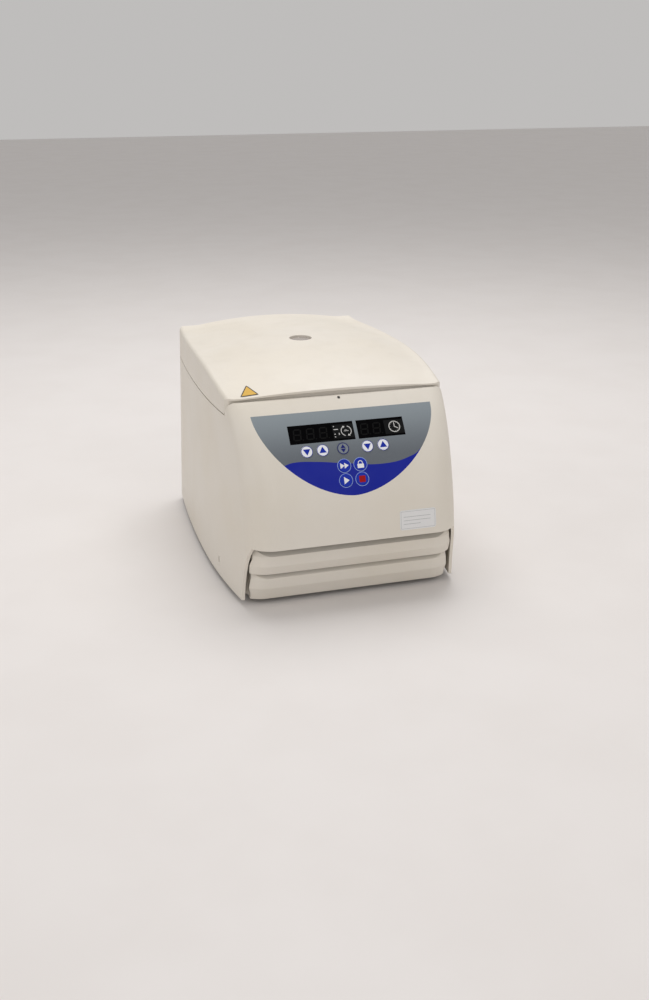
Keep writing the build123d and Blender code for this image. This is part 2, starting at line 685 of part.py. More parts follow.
with BuildPart() as hinge_arms:
    for x in ARM_X:
        crosswise(x - ARM_HALF, x + ARM_HALF, HINGE_Y, HINGE_Z, KNUCKLE_R - 0.3)
        block((x - ARM_HALF, 132, 179.2), (x + ARM_HALF, HINGE_Y, LINER_Z))
        block((x - ARM_HALF, HINGE_Y - 3.5, HINGE_Z), (x + ARM_HALF, HINGE_Y, 179.5))
    crosswise(-110, 110, HINGE_Y, HINGE_Z, PIN_R + RUN_FIT, Mode.SUBTRACT)
save(hinge_arms, "hinge_arms")

with BuildPart() as hinge_brackets:
    for left, right in BRACKET_SPANS:
        crosswise(left, right, HINGE_Y, HINGE_Z, KNUCKLE_R)
        block((left, 148, DECK_Z), (right, HINGE_Y, DECK_Z + 2))
        block((left, HINGE_Y - KNUCKLE_R, DECK_Z), (right, HINGE_Y, HINGE_Z))
    crosswise(-110, 110, HINGE_Y, HINGE_Z, PIN_R, Mode.SUBTRACT)
save(hinge_brackets, "hinge_brackets")

with BuildPart() as hinge_pin:
    crosswise(-98, 98, HINGE_Y, HINGE_Z, PIN_R)
save(hinge_pin, "hinge_pin")

SPRING_WIRE_R = 0.5
SPRING_R = 2.4
with BuildPart() as lid_springs:
    for left in (-33, 21):
        for coil in range(9):
            with BuildSketch(Plane.XY.offset(HINGE_Z)) as wire:
                with Locations((left + 1.2 * coil + 1, HINGE_Y + SPRING_R)):
                    Circle(SPRING_WIRE_R)
            revolve(wire.sketch, axis=Axis((0, HINGE_Y, HINGE_Z), (1, 0, 0)))
save(lid_springs, "lid_springs")

with BuildPart() as lid_bumpers:
    for x in (-94, 94):
        upright(x, -78, DECK_Z, LINER_Z - 0.1, 4)
save(lid_bumpers, "lid_bumpers")

# ---------------------------------------------------------------- latch

LATCH_PLANE = Plane((-4, LATCH_Y, LATCH_Z), x_dir=(0, 1, 0), z_dir=(1, 0, 0)).rotated((LATCH_SWING, 0, 0))

with BuildPart() as latch_housing:
    for side in (-1, 1):
        block((side * 7 - 2, LATCH_Y - 8, 138), (side * 7 + 2, LATCH_Y + 8, DECK_Z - WALL))
    block((-9, LATCH_Y - 8, 136), (9, LATCH_Y + 8, 138))
    block((-9, LATCH_Y + 8, DECK_Z - WALL - 2), (-5, LATCH_Y + 10, DECK_Z - WALL))
    crosswise(-20, 20, LATCH_Y, LATCH_Z, 2, Mode.SUBTRACT)
save(latch_housing, "latch_housing")

with BuildPart() as latch_pin:
    crosswise(-9, 9, LATCH_Y, LATCH_Z, 2)
save(latch_pin, "latch_pin")

with BuildPart() as latch_hook:
    with BuildSketch(LATCH_PLANE) as lever:
        with BuildLine():
            Polyline((-4, -4), (4, -4), (4, 12.8), (15.5, 13.6), (12.5, 17), (-3, 17), (-4, 15), close=True)
        make_face()
        Circle(2 + RUN_FIT, mode=Mode.SUBTRACT)
    extrude(lever.sketch, amount=8)
save(latch_hook, "latch_hook")

with BuildPart() as latch_motor:
    crosswise(12, 40, LATCH_Y, LATCH_Z, 9)
    crosswise(9.2, 12, LATCH_Y, LATCH_Z, 5)
save(latch_motor, "latch_motor")

# ---------------------------------------------------------------- electronics and rear panel

with BuildPart() as power_board:
    block((6, 132, 34), (80, 134, 146))
    for x in (18, 42):
        with BuildSketch(Plane.XZ.offset(-132)) as can:
            with Locations((x, 50)):
                Circle(9)
        extrude(can.sketch, amount=18)
    block((56, 124, 40), (76, 132, 66))
    block((14, 126, 96), (72, 132, 124))
save(power_board, "power_board")

with BuildPart() as board_standoffs:
    for x in (12, 74):
        for z in (40, 140):
            with BuildSketch(Plane.XZ.offset(-134)) as post:
                with Locations((x, z)):
                    RegularPolygon(3.5, 6)
            extrude(post.sketch, amount=-(PANEL_BACK - 1.5 - 134))
save(board_standoffs, "board_standoffs")

PANEL_SCREWS = ((-92, 26), (0, 26), (92, 26), (-92, 154), (0, 154), (92, 154))
with BuildPart() as rear_panel:
    with BuildSketch(Plane.XZ.offset(-BACK_Y)) as sheet:
        with Locations((0, 90)):
            RectangleRounded(194, 138, 4)
    extrude(sheet.sketch, amount=-(PANEL_BACK - BACK_Y))
    block((INLET_X - 14.2, 160, INLET_Z - 10.4), (INLET_X + 14.2, 180, INLET_Z + 16.6), Mode.SUBTRACT)
    block((SWITCH_X - 10.2, 160, SWITCH_Z - 14.2), (SWITCH_X + 10.2, 180, SWITCH_Z + 14.2), Mode.SUBTRACT)
    with BuildSketch(Plane.XZ.offset(-160)) as vents:
        with Locations((0, 112)):
            with GridLocations(9, 0, 17, 1):
                SlotOverall(50, 4, rotation=90)
    extrude(vents.sketch, amount=-30, mode=Mode.SUBTRACT)
    with BuildSketch(Plane.XZ.offset(-160)) as pilot:
        with Locations(*PANEL_SCREWS):
            Circle(1.5)
    extrude(pilot.sketch, amount=-30, mode=Mode.SUBTRACT)
save(rear_panel, "rear_panel")

with BuildPart() as panel_screws:
    with BuildSketch(Plane.XZ.offset(-PANEL_BACK)) as heads:
        with Locations(*PANEL_SCREWS):
            Circle(2.9)
    extrude(heads.sketch, amount=-(REAR_LIMIT - PANEL_BACK))
    with BuildSketch(Plane.XZ.offset(-BACK_Y)) as shanks:
        with Locations(*PANEL_SCREWS):
            Circle(1.5)
    extrude(shanks.sketch, amount=-(PANEL_BACK - BACK_Y))
save(panel_screws, "panel_screws")

with BuildPart() as mains_inlet:
    # Shrouded socket with three flat pins, and a slot for the fuse drawer above it.
    block((INLET_X - 14, 148, INLET_Z - 10.2), (INLET_X + 14, PANEL_BACK, INLET_Z + 16.4))
    block((INLET_X - 17, PANEL_BACK, INLET_Z - 13), (INLET_X + 17, REAR_LIMIT, INLET_Z + 19))
    block((INLET_X - 12, 158, INLET_Z - 8), (INLET_X + 12, 180, INLET_Z + 6.5), Mode.SUBTRACT)
    block((INLET_X - 11, 153, INLET_Z + 8.2), (INLET_X + 11, 180, INLET_Z + 15.2), Mode.SUBTRACT)
    for x, z in ((-7, -4.5), (0, -1.5), (7, -4.5)):
        block((INLET_X + x - 1, 157, INLET_Z + z - 2), (INLET_X + x + 1, 172, INLET_Z + z + 2))
save(mains_inlet, "mains_inlet")

with BuildPart() as fuse_drawer:
    block((INLET_X - 10.7, 154, INLET_Z + 8.5), (INLET_X + 10.7, 175.4, INLET_Z + 14.9))
    block((INLET_X - 9, 156, INLET_Z + 10), (INLET_X + 9, 172, INLET_Z + 16), Mode.SUBTRACT)
    block((INLET_X - 4, 174.6, INLET_Z + 8), (INLET_X + 4, 178, INLET_Z + 9.6), Mode.SUBTRACT)
save(fuse_drawer, "fuse_drawer")

with BuildPart() as switch_frame:
    block((SWITCH_X - 10, 158, SWITCH_Z - 14), (SWITCH_X + 10, PANEL_BACK, SWITCH_Z + 14))
    block((SWITCH_X - 12, PANEL_BACK, SWITCH_Z - 16), (SWITCH_X + 12, REAR_LIMIT, SWITCH_Z + 16))
    block((SWITCH_X - 8.4, 160, SWITCH_Z - 12.4), (SWITCH_X + 8.4, 180, SWITCH_Z + 12.4), Mode.SUBTRACT)
save(switch_frame, "switch_frame")

ROCKER_Y = 168
ROCKER_PLANE = Plane((SWITCH_X - 8, ROCKER_Y, SWITCH_Z), x_dir=(0, 1, 0), z_dir=(1, 0, 0)).rotated((ROCKER_TILT, 0, 0))
with BuildPart() as power_rocker:
    with BuildSketch(ROCKER_PLANE) as rocker_side:
        with BuildLine():
            Polyline((-3, -6), (4.4, -11), (6.2, -11), (4.6, 0), (6.2, 11), (4.4, 11), (-3, 6), close=True)
        make_face()
    extrude(rocker_side.sketch, amount=16)
save(power_rocker, "power_rocker")
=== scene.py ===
"""Finishes, printed marks and small fittings of a benchtop laboratory centrifuge, in metres."""

import json
import logging
import math
from collections.abc import Iterable, Sequence
from dataclasses import dataclass, field
from enum import Enum
from functools import lru_cache

import bmesh
import bpy
from mathutils import Matrix, Vector
from mathutils.bvhtree import BVHTree


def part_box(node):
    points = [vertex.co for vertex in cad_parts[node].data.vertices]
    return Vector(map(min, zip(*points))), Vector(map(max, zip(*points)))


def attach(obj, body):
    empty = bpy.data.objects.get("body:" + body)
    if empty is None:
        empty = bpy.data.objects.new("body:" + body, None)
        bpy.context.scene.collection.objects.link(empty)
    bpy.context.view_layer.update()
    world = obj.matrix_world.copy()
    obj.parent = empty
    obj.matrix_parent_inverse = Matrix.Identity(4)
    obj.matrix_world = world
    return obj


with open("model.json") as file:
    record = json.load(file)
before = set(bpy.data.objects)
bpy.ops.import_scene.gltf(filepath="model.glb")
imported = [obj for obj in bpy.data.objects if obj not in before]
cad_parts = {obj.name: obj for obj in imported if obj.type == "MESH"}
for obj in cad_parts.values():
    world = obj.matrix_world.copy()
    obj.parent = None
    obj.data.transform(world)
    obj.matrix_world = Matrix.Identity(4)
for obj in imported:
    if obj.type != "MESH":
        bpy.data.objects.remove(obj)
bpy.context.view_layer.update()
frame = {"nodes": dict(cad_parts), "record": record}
LOG = logging.getLogger("centrifuge")
MM = 0.001
RIGHTWARD = Vector((1, 0, 0))
LEFTWARD = Vector((-1, 0, 0))
BACKWARD = Vector((0, 1, 0))
UPWARD = Vector((0, 0, 1))

Colour = tuple[float, float, float, float]
Outline = Sequence[tuple[float, float]]


def tone(red: int, green: int, blue: int) -> Colour:
    """Turn an everyday 0-255 paint tone into the linear colour that shaders use.

    Args:
        red: Red, 0 to 255.
        green: Green, 0 to 255.
        blue: Blue, 0 to 255.

    Returns:
        The linear colour with full opacity.
    """
    linear = [((c / 255 + 0.055) / 1.055) ** 2.4 if c > 10 else c / 255 / 12.92 for c in (red, green, blue)]
    return (linear[0], linear[1], linear[2], 1.0)


def shifted(colour: Colour, factor: float, offset: float = 0.0) -> Colour:
    """Return a colour made paler or darker by a factor and an offset."""
    red, green, blue = (min(1.0, c * factor + offset) for c in colour[:3])
    return (red, green, blue, 1.0)


# ---------------------------------------------------------------- node trees


class Graph:
    """Adds and links the nodes of one shader or geometry tree."""

    def __init__(self, tree: bpy.types.NodeTree) -> None:
        """Keep the tree that the nodes go into."""
        self.tree = tree

    def add(self, kind: str, inputs: dict | None = None, **settings: object) -> bpy.types.Node:
        """Add a node, set its options, then fill or link its inputs.

        Args:
            kind: Blender's name for the node type.
            inputs: Socket name or number to a value or to another node's output.
            **settings: The node's own options.

        Returns:
            The new node.
        """
        node = self.tree.nodes.new(kind)
        for name, value in settings.items():
            setattr(node, name, value)
        self.fill(node, inputs or {})
        return node

    def fill(self, node: bpy.types.Node, inputs: dict) -> None:
        """Set a node's inputs to values, or link them to other nodes' outputs."""
        for key, value in inputs.items():
            if isinstance(value, bpy.types.NodeSocket):
                self.tree.links.new(value, node.inputs[key])
            else:
                node.inputs[key].default_value = value

    def feed(self, node: bpy.types.Node, **inputs: object) -> None:
        """Fill inputs by name; an underscore in a name stands for a space."""
        self.fill(node, {name.replace("_", " "): value for name, value in inputs.items()})

    def sum(self, operation: str, *values: object) -> bpy.types.NodeSocket:
        """Work out one Math operation and return its output."""
        return self.add("ShaderNodeMath", dict(enumerate(values)), operation=operation).outputs[0]

    def mix(self, share: object, first: object, second: object, blend: str = "MIX") -> bpy.types.NodeSocket:
        """Blend two colours and return the blended colour."""
        node = self.add("ShaderNodeMix", {0: share, 6: first, 7: second}, data_type="RGBA", blend_type=blend)
        return node.outputs[2]

    def ramp(
        self, value: object, low: float, high: float, out_low: float = 0.0, out_high: float = 1.0
    ) -> bpy.types.NodeSocket:
        """Ease a value from one range to another and return it."""
        inputs = {"Value": value, "From Min": low, "From Max": high, "To Min": out_low, "To Max": out_high}
        return self.add("ShaderNodeMapRange", inputs, interpolation_type="SMOOTHSTEP").outputs["Result"]

    def noise(self, place: object, scale: object, detail: float = 3.0) -> bpy.types.NodeSocket:
        """Return noise at a place, 0 to 1, at a scale in features per metre."""
        inputs = {"Vector": place, "Scale": scale, "Detail": detail}
        return self.add("ShaderNodeTexNoise", inputs).outputs[0]

    def effect(self, tree: bpy.types.NodeTree, **inputs: object) -> bpy.types.Node:
        """Place a shared node group; an underscore in an input's name stands for a space."""
        node = self.add("ShaderNodeGroup", node_tree=tree)
        self.feed(node, **inputs)
        return node

    def swing(self, value: object, amount: float) -> bpy.types.NodeSocket:
        """Centre a 0 to 1 value on nought, scale it and return it."""
        return self.sum("MULTIPLY", self.sum("SUBTRACT", value, 0.5), amount)


def open_group(
    name: str, inputs: dict[str, object], outputs: tuple[str, ...]
) -> tuple[Graph, dict, bpy.types.Node]:
    """Start a shader node group.

    Args:
        name: The group's name.
        inputs: Input name to default: a number, a colour, or None for a vector.
        outputs: The outputs' names; Color is a colour and the others are numbers.

    Returns:
        The graph, the group's inputs by name, and the output node.
    """
    tree = bpy.data.node_groups.new(name, "ShaderNodeTree")
    for label, default in inputs.items():
        kind = "NodeSocketVector" if default is None else "NodeSocketFloat"
        if isinstance(default, tuple):
            kind = "NodeSocketColor"
        socket = tree.interface.new_socket(label, in_out="INPUT", socket_type=kind)
        if default is not None:
            socket.default_value = default
    for label in outputs:
        kind = "NodeSocketColor" if label == "Color" else "NodeSocketFloat"
        tree.interface.new_socket(label, in_out="OUTPUT", socket_type=kind)
    graph = Graph(tree)
    source = graph.add("NodeGroupInput")
    return graph, {label: source.outputs[label] for label in inputs}, graph.add("NodeGroupOutput")


@lru_cache
def grain_effect() -> bpy.types.NodeTree:
    """Build the fine spark-eroded grain of moulded plastic: a height and a gloss variation."""
    graph, given, out = open_group(
        "moulded_grain",
        {"Place": None, "Scale": 900.0, "Base Roughness": 0.45},
        ("Height", "Roughness"),
    )
    fine = graph.noise(given["Place"], given["Scale"], 2.0)
    pits = graph.add("ShaderNodeTexVoronoi", {"Vector": given["Place"], "Scale": given["Scale"]})
    soft = graph.noise(given["Place"], 26.0, 4.0)
    height = graph.sum("ADD", fine, graph.sum("MULTIPLY", pits.outputs["Distance"], 0.5))
    drift = graph.swing(soft, 0.22)
    speck = graph.swing(fine, 0.12)
    rough = graph.sum("ADD", given["Base Roughness"], graph.sum("ADD", drift, speck))
    graph.feed(out, Height=height, Roughness=rough)
    return graph.tree


@lru_cache
def tone_effect() -> bpy.types.NodeTree:
    """Build the slow drift of colour that handling and daylight give a surface."""
    graph, given, out = open_group(
        "tone_drift",
        {
            "Place": None,
            "Base": (0.8, 0.8, 0.8, 1.0),
            "Tint": (0.7, 0.6, 0.5, 1.0),
            "Amount": 0.3,
            "Scale": 9.0,
        },
        ("Color",),
    )
    broad = graph.noise(given["Place"], given["Scale"], 5.0)
    share = graph.sum("MULTIPLY", graph.ramp(broad, 0.35, 0.7), given["Amount"])
    specks = graph.noise(given["Place"], 420.0, 1.0)
    faint = graph.sum("MULTIPLY", given["Amount"], 0.4)
    soiled = graph.sum("MULTIPLY", graph.ramp(specks, 0.68, 0.8), faint)
    drifted = graph.mix(share, given["Base"], given["Tint"])
    graph.feed(out, Color=graph.mix(soiled, drifted, given["Tint"]))
    return graph.tree


@lru_cache
def wear_effect() -> bpy.types.NodeTree:
    """Build the mask of rubbed edges, from how far a rounded normal leaves the true one."""
    graph, given, out = open_group("edge_wear", {"Place": None, "Radius": 0.001}, ("Mask",))
    rounded = graph.add("ShaderNodeBevel", {"Radius": given["Radius"]}, samples=4)
    true = graph.add("ShaderNodeNewGeometry")
    normals = {0: rounded.outputs[0], 1: true.outputs["Normal"]}
    agree = graph.add("ShaderNodeVectorMath", normals, operation="DOT_PRODUCT")
    edge = graph.ramp(graph.sum("SUBTRACT", 1.0, agree.outputs["Value"]), 0.01, 0.16)
    patches = graph.ramp(graph.noise(given["Place"], 160.0), 0.35, 0.62, 0.25, 1.0)
    graph.feed(out, Mask=graph.sum("MULTIPLY", edge, patches))
    return graph.tree


@lru_cache
def dust_effect() -> bpy.types.NodeTree:
    """Build the mask of fine dust that settles on what faces up."""
    inputs = {"Place": None, "Amount": 0.2}
    graph, given, out = open_group("settled_dust", inputs, ("Mask",))
    facing = graph.add("ShaderNodeSeparateXYZ", {0: graph.add("ShaderNodeNewGeometry").outputs["Normal"]})
    upward = graph.ramp(facing.outputs["Z"], 0.2, 0.95)
    cloud = graph.ramp(graph.noise(given["Place"], 55.0, 6.0), 0.42, 0.75)
    mask = graph.sum("MULTIPLY", graph.sum("MULTIPLY", upward, cloud), given["Amount"])
    graph.feed(out, Mask=mask)
    return graph.tree


@lru_cache
def turning_effect() -> bpy.types.NodeTree:
    """Build the fine rings that a lathe leaves round an upright axis."""
    graph, given, out = open_group(
        "turning_marks",
        {"Place": None, "Axis Y": 0.0, "Pitch": 2500.0},
        ("Height", "Band"),
    )
    parts = graph.add("ShaderNodeSeparateXYZ", {0: given["Place"]})
    across = graph.sum("SUBTRACT", parts.outputs["Y"], given["Axis Y"])
    squares = [graph.sum("POWER", side, 2.0) for side in (parts.outputs["X"], across)]
    reach = graph.sum("SQRT", graph.sum("ADD", *squares))
    rings = graph.add("ShaderNodeCombineXYZ", {0: reach, 1: parts.outputs["Z"]})
    fine = graph.noise(rings.outputs[0], given["Pitch"], 2.0)
    band = graph.noise(rings.outputs[0], 180.0)
    graph.feed(out, Height=fine, Band=band)
    return graph.tree


# ---------------------------------------------------------------- finishes


@dataclass(frozen=True)
class Finish:
    """What every finish has: its name, colour and roughness."""

    name: str
    colour: Colour
    roughness: float

    def material(self) -> bpy.types.Material:
        """Build the finish's material, or return the one built before.

        Returns:
            The material.
        """
        made = bpy.data.materials.get(self.name)
        if made is None:
            made = bpy.data.materials.new(self.name)
            made.use_nodes = True
            made.node_tree.nodes.clear()
            graph = Graph(made.node_tree)
            inputs = {"Base Color": self.colour, "Roughness": self.roughness}
            shader = graph.add("ShaderNodeBsdfPrincipled", inputs)
            graph.add("ShaderNodeOutputMaterial", {"Surface": shader.outputs[0]})
            self.dress(graph, shader, graph.add("ShaderNodeTexCoord").outputs["Object"])
        return made

    def dress(self, graph: Graph, shader: bpy.types.Node, place: bpy.types.NodeSocket) -> None:
        """Give the surface its detail; each finish does this its own way."""
        raise NotImplementedError

    def rubbed(self, graph: Graph, place: bpy.types.NodeSocket, radius: float) -> bpy.types.NodeSocket:
        """Return the mask of edges rubbed within a radius in metres."""
        return graph.effect(wear_effect(), Place=place, Radius=radius).outputs["Mask"]

    def raise_relief(self, graph: Graph, shader: bpy.types.Node, height: object, depth: float) -> None:
        """Feed a height to the shader's normal through one Bump node.

        Args:
            graph: The material's graph.
            shader: The Principled shader.
            height: The height's output.
            depth: The relief's depth in metres.
        """
        bump = graph.add("ShaderNodeBump", {"Strength": 0.5, "Distance": depth, "Height": height})
        graph.feed(shader, Normal=bump.outputs[0])


@dataclass(frozen=True)
class MouldedPlastic(Finish):
    """Moulded plastic or rubber with its grain, drift of tone, rubbed edges and dust."""

    tint: Colour
    drift: float = 0.3
    grain: float = 900.0
    relief: float = 0.00006
    wear: float = 0.25
    dust: float = 0.0
    sheen: float = 0.4

    def dress(self, graph: Graph, shader: bpy.types.Node, place: bpy.types.NodeSocket) -> None:
        """Mix tone, wear and dust, and press in the grain."""
        body = graph.effect(tone_effect(), Place=place, Base=self.colour, Tint=self.tint, Amount=self.drift)
        colour = body.outputs["Color"]
        paler = shifted(self.colour, 1.25, 0.02)
        if self.wear > 0:
            rubbed = self.rubbed(graph, place, 1.2 * MM)
            colour = graph.mix(graph.sum("MULTIPLY", rubbed, self.wear), colour, paler)
        if self.dust > 0:
            settled = graph.effect(dust_effect(), Place=place, Amount=self.dust).outputs["Mask"]
            colour = graph.mix(settled, colour, tone(176, 168, 155))
        graph.feed(shader, Base_Color=colour)
        grain = graph.effect(grain_effect(), Place=place, Scale=self.grain, Base_Roughness=self.roughness)
        graph.feed(shader, Roughness=grain.outputs["Roughness"])
        graph.feed(shader, Specular_IOR_Level=self.sheen)
        self.raise_relief(graph, shader, grain.outputs["Height"], self.relief)


class Cut(Enum):
    """How a metal's surface was made."""

    TURNED = "turned"
    BRUSHED = "brushed"
    CAST = "cast"
    LAYERED = "layered"


# Features per metre of the marks along each axis; turned metal has rings instead
MARK_SCALES: dict[Cut, tuple[float, float, float]] = {
    Cut.BRUSHED: (90.0, 90.0, 2600.0),
    Cut.CAST: (420.0, 420.0, 420.0),
    Cut.LAYERED: (30.0, 30.0, 1500.0),
}


@dataclass(frozen=True)
class WorkedMetal(Finish):
    """Bare metal with the marks of the tool that made it."""

    cut: Cut = Cut.BRUSHED
    stain: Colour = tone(120, 110, 98)
    axis_y: float = 0.0287

    def dress(self, graph: Graph, shader: bpy.types.Node, place: bpy.types.NodeSocket) -> None:
        """Lay the tool marks and a little tarnish."""
        if self.cut is Cut.TURNED:
            marks = graph.effect(turning_effect(), Place=place, Axis_Y=self.axis_y)
            height, band, depth = marks.outputs["Height"], marks.outputs["Band"], 0.00003
        else:
            run = graph.add("ShaderNodeMapping", {"Vector": place, "Scale": MARK_SCALES[self.cut]}).outputs[0]
            height, band, depth = graph.noise(run, 1.0, 4.0), graph.noise(place, 70.0, 4.0), 0.00005
        shade = graph.mix(graph.ramp(band, 0.4, 0.75, 0.0, 0.35), self.colour, self.stain)
        rubbed = self.rubbed(graph, place, 0.6 * MM)
        bright = shifted(self.colour, 1.35)
        shade = graph.mix(graph.sum("MULTIPLY", rubbed, 0.5), shade, bright)
        graph.feed(shader, Base_Color=shade)
        rough = graph.sum("ADD", self.roughness, graph.swing(height, 0.2))
        graph.feed(shader, Roughness=rough, Metallic=1.0)
        self.raise_relief(graph, shader, height, depth)


@dataclass(frozen=True)
class PowderCoat(Finish):
    """Stove-enamelled steel with a light orange peel."""

    chip: Colour = tone(120, 120, 120)

    def dress(self, graph: Graph, shader: bpy.types.Node, place: bpy.types.NodeSocket) -> None:
        """Roll the peel and chip the edges a little."""
        peel = graph.noise(place, 520.0, 1.0)
        tint = shifted(self.colour, 0.86)
        body = graph.effect(tone_effect(), Place=place, Base=self.colour, Tint=tint, Amount=0.4, Scale=14.0)
        rubbed = self.rubbed(graph, place, 0.5 * MM)
        chipped = graph.mix(graph.ramp(rubbed, 0.55, 0.9, 0.0, 0.6), body.outputs["Color"], self.chip)
        graph.feed(shader, Base_Color=chipped)
        rough = graph.ramp(peel, 0.2, 0.8, self.roughness - 0.08, self.roughness + 0.1)
        graph.feed(shader, Roughness=rough)
        self.raise_relief(graph, shader, peel, 0.0001)


@dataclass(frozen=True)
class PrintedFoil(Finish):
    """The front foil's print: grey above a wave, blue below, on a velvet polyester."""

    blue: Colour = tone(0, 24, 146)
    shade: Colour = tone(98, 104, 111)
    gloss: float = 0.2
    half_width: float = 93.2 * MM
    wave_low: float = 130 * MM
    wave_high: float = 160 * MM
    grey_low: float = 142 * MM
    grey_high: float = 186 * MM
    wave: tuple[tuple[float, float], ...] = (
        (0.0, 0.34), (0.126, 0.477), (0.19, 0.55), (0.308, 0.51), (0.447, 0.407), (0.679, 0.277),
        (0.83, 0.427), (0.89, 0.617), (1.0, 1.0),
    )

    def dress(self, graph: Graph, shader: bpy.types.Node, place: bpy.types.NodeSocket) -> None:
        """Print the wave and the grey's slow fade."""
        at = graph.add("ShaderNodeSeparateXYZ", {0: place})
        span = {"Value": at.outputs["X"], "From Min": -self.half_width, "From Max": self.half_width}
        along = graph.add("ShaderNodeMapRange", span)
        bend = graph.add("ShaderNodeFloatCurve", {"Value": along.outputs["Result"]})
        curve = bend.mapping.curves[0]
        curve.points[0].location = self.wave[0]
        curve.points[-1].location = self.wave[-1]
        for point in self.wave[1:-1]:
            curve.points.new(*point)
        bend.mapping.update()
        rise = {"Value": bend.outputs[0], "To Min": self.wave_low, "To Max": self.wave_high}
        edge = graph.add("ShaderNodeMapRange", rise)
        above = graph.sum("SUBTRACT", at.outputs["Z"], edge.outputs["Result"])
        grey = graph.mix(graph.ramp(at.outputs["Z"], self.grey_low, self.grey_high), self.shade, self.colour)
        dots = graph.noise(place, 2400.0, 1.0)
        grey = graph.mix(graph.ramp(dots, 0.45, 0.8, 0.0, 0.05), grey, tone(215, 218, 222))
        printed = graph.mix(graph.ramp(above, -0.15 * MM, 0.15 * MM), self.blue, grey)
        graph.feed(shader, Specular_IOR_Level=self.gloss, Base_Color=printed)
        smear = graph.noise(place, 30.0, 5.0)
        rough = graph.ramp(smear, 0.3, 0.75, self.roughness - 0.07, self.roughness + 0.12)
        graph.feed(shader, Roughness=rough)
        self.raise_relief(graph, shader, dots, 0.00002)


@dataclass(frozen=True)
class Ink(Finish):
    """Screen ink or a thin plastic mark, with pinholes and a slightly uneven film."""

    gloss: float = 0.4

    def dress(self, graph: Graph, shader: bpy.types.Node, place: bpy.types.NodeSocket) -> None:
        """Thin the film here and there."""
        film = graph.noise(place, 1300.0, 2.0)
        thin = shifted(self.colour, 0.85, 0.002)
        colour = graph.mix(graph.ramp(film, 0.5, 0.8, 0.0, 0.4), self.colour, thin)
        graph.feed(shader, Base_Color=colour)
        rough = graph.ramp(film, 0.2, 0.8, self.roughness, self.roughness + 0.12)
        graph.feed(shader, Roughness=rough, Specular_IOR_Level=self.gloss)
        self.raise_relief(graph, shader, film, 0.00001)


@dataclass(frozen=True)
class ClearPlastic(Finish):
    """Clear or smoked glazing with faint wiping marks."""

    clearness: float = 0.0
    gloss: float = 0.5

    def dress(self, graph: Graph, shader: bpy.types.Node, place: bpy.types.NodeSocket) -> None:
        """Wipe it unevenly, and leave a few hairline scratches."""
        wiped = graph.noise(place, 60.0, 5.0)
        slant = {"Vector": place, "Scale": (3000.0, 120.0, 120.0), "Rotation": (0, 0, 0.6)}
        run = graph.add("ShaderNodeMapping", slant)
        scratch = graph.ramp(graph.noise(run.outputs[0], 1.0, 2.0), 0.72, 0.78, 0.0, 0.12)
        rough = graph.sum("ADD", graph.ramp(wiped, 0.3, 0.75, self.roughness, self.roughness + 0.1), scratch)
        graph.feed(shader, Roughness=rough)
        hazed = shifted(self.colour, 1.1, 0.0005)
        colour = graph.mix(graph.ramp(wiped, 0.45, 0.8, 0.0, 0.6), self.colour, hazed)
        graph.feed(shader, Base_Color=colour, Transmission_Weight=self.clearness)
        graph.feed(shader, Specular_IOR_Level=self.gloss)


@dataclass(frozen=True)
class SolderMask(Finish):
    """A circuit board: green mask over copper tracks, with tinned pads."""

    track: Colour = tone(28, 108, 58)
    pad: Colour = tone(196, 190, 170)

    def dress(self, graph: Graph, shader: bpy.types.Node, place: bpy.types.NodeSocket) -> None:
        """Route the tracks on a square grid and tin the pads."""
        grid = {"Vector": place, "Scale": 260.0, "Randomness": 0.55}
        cells = graph.add("ShaderNodeTexVoronoi", grid, distance="CHEBYCHEV")
        tracks = graph.ramp(cells.outputs["Distance"], 0.2, 0.24, 1.0, 0.0)
        pads = graph.ramp(cells.outputs["Distance"], 0.07, 0.1, 1.0, 0.0)
        colour = graph.mix(pads, graph.mix(tracks, self.colour, self.track), self.pad)
        graph.feed(shader, Base_Color=colour)
        graph.feed(shader, Roughness=graph.ramp(pads, 0.0, 1.0, self.roughness, 0.25))
        self.raise_relief(graph, shader, tracks, 0.00005)


CASING = MouldedPlastic("cream_casing", tone(221, 215, 205), 0.42, tone(214, 205, 188), drift=0.4, dust=0.08)
LINER = MouldedPlastic("lid_lining", tone(206, 199, 187), 0.5, tone(190, 180, 160), drift=0.35, dust=0.1)
TRAY = MouldedPlastic("grey_tray", tone(150, 147, 140), 0.55, tone(120, 116, 106), dust=0.3)
RUBBER = MouldedPlastic(
    "black_rubber", tone(26, 26, 27), 0.75, tone(44, 42, 40), grain=500.0, wear=0.1, dust=0.25
)
GASKET = MouldedPlastic(
    "grey_seal", tone(58, 58, 60), 0.6, tone(80, 78, 75), grain=700.0, wear=0.1, dust=0.15
)
BLACK = MouldedPlastic(
    "black_fitting", tone(24, 24, 25), 0.42, tone(36, 35, 34), grain=800.0, wear=0.4, dust=0.2
)
ROCKER = MouldedPlastic(
    "switch_rocker", tone(18, 18, 19), 0.3, tone(30, 30, 30), grain=600.0, relief=0.02 * MM, wear=0.4
)
KNOB = MouldedPlastic("hand_knob", tone(30, 31, 34), 0.38, tone(44, 44, 47), grain=700.0, wear=0.5)
LATCH_PLASTIC = MouldedPlastic("latch_block", tone(40, 40, 42), 0.55, tone(60, 58, 55), dust=0.2)
MODULE = MouldedPlastic("display_block", tone(20, 20, 21), 0.5, tone(30, 30, 30))
STEEL = WorkedMetal("bright_steel", tone(176, 176, 174), 0.3, Cut.BRUSHED)
BOWL_STEEL = WorkedMetal("spun_bowl", tone(186, 187, 188), 0.28, Cut.TURNED)
MOTOR_METAL = WorkedMetal("cast_motor_shell", tone(160, 162, 165), 0.42, Cut.CAST)
ROTOR_METAL = WorkedMetal("turned_rotor", tone(176, 178, 182), 0.3, Cut.TURNED)
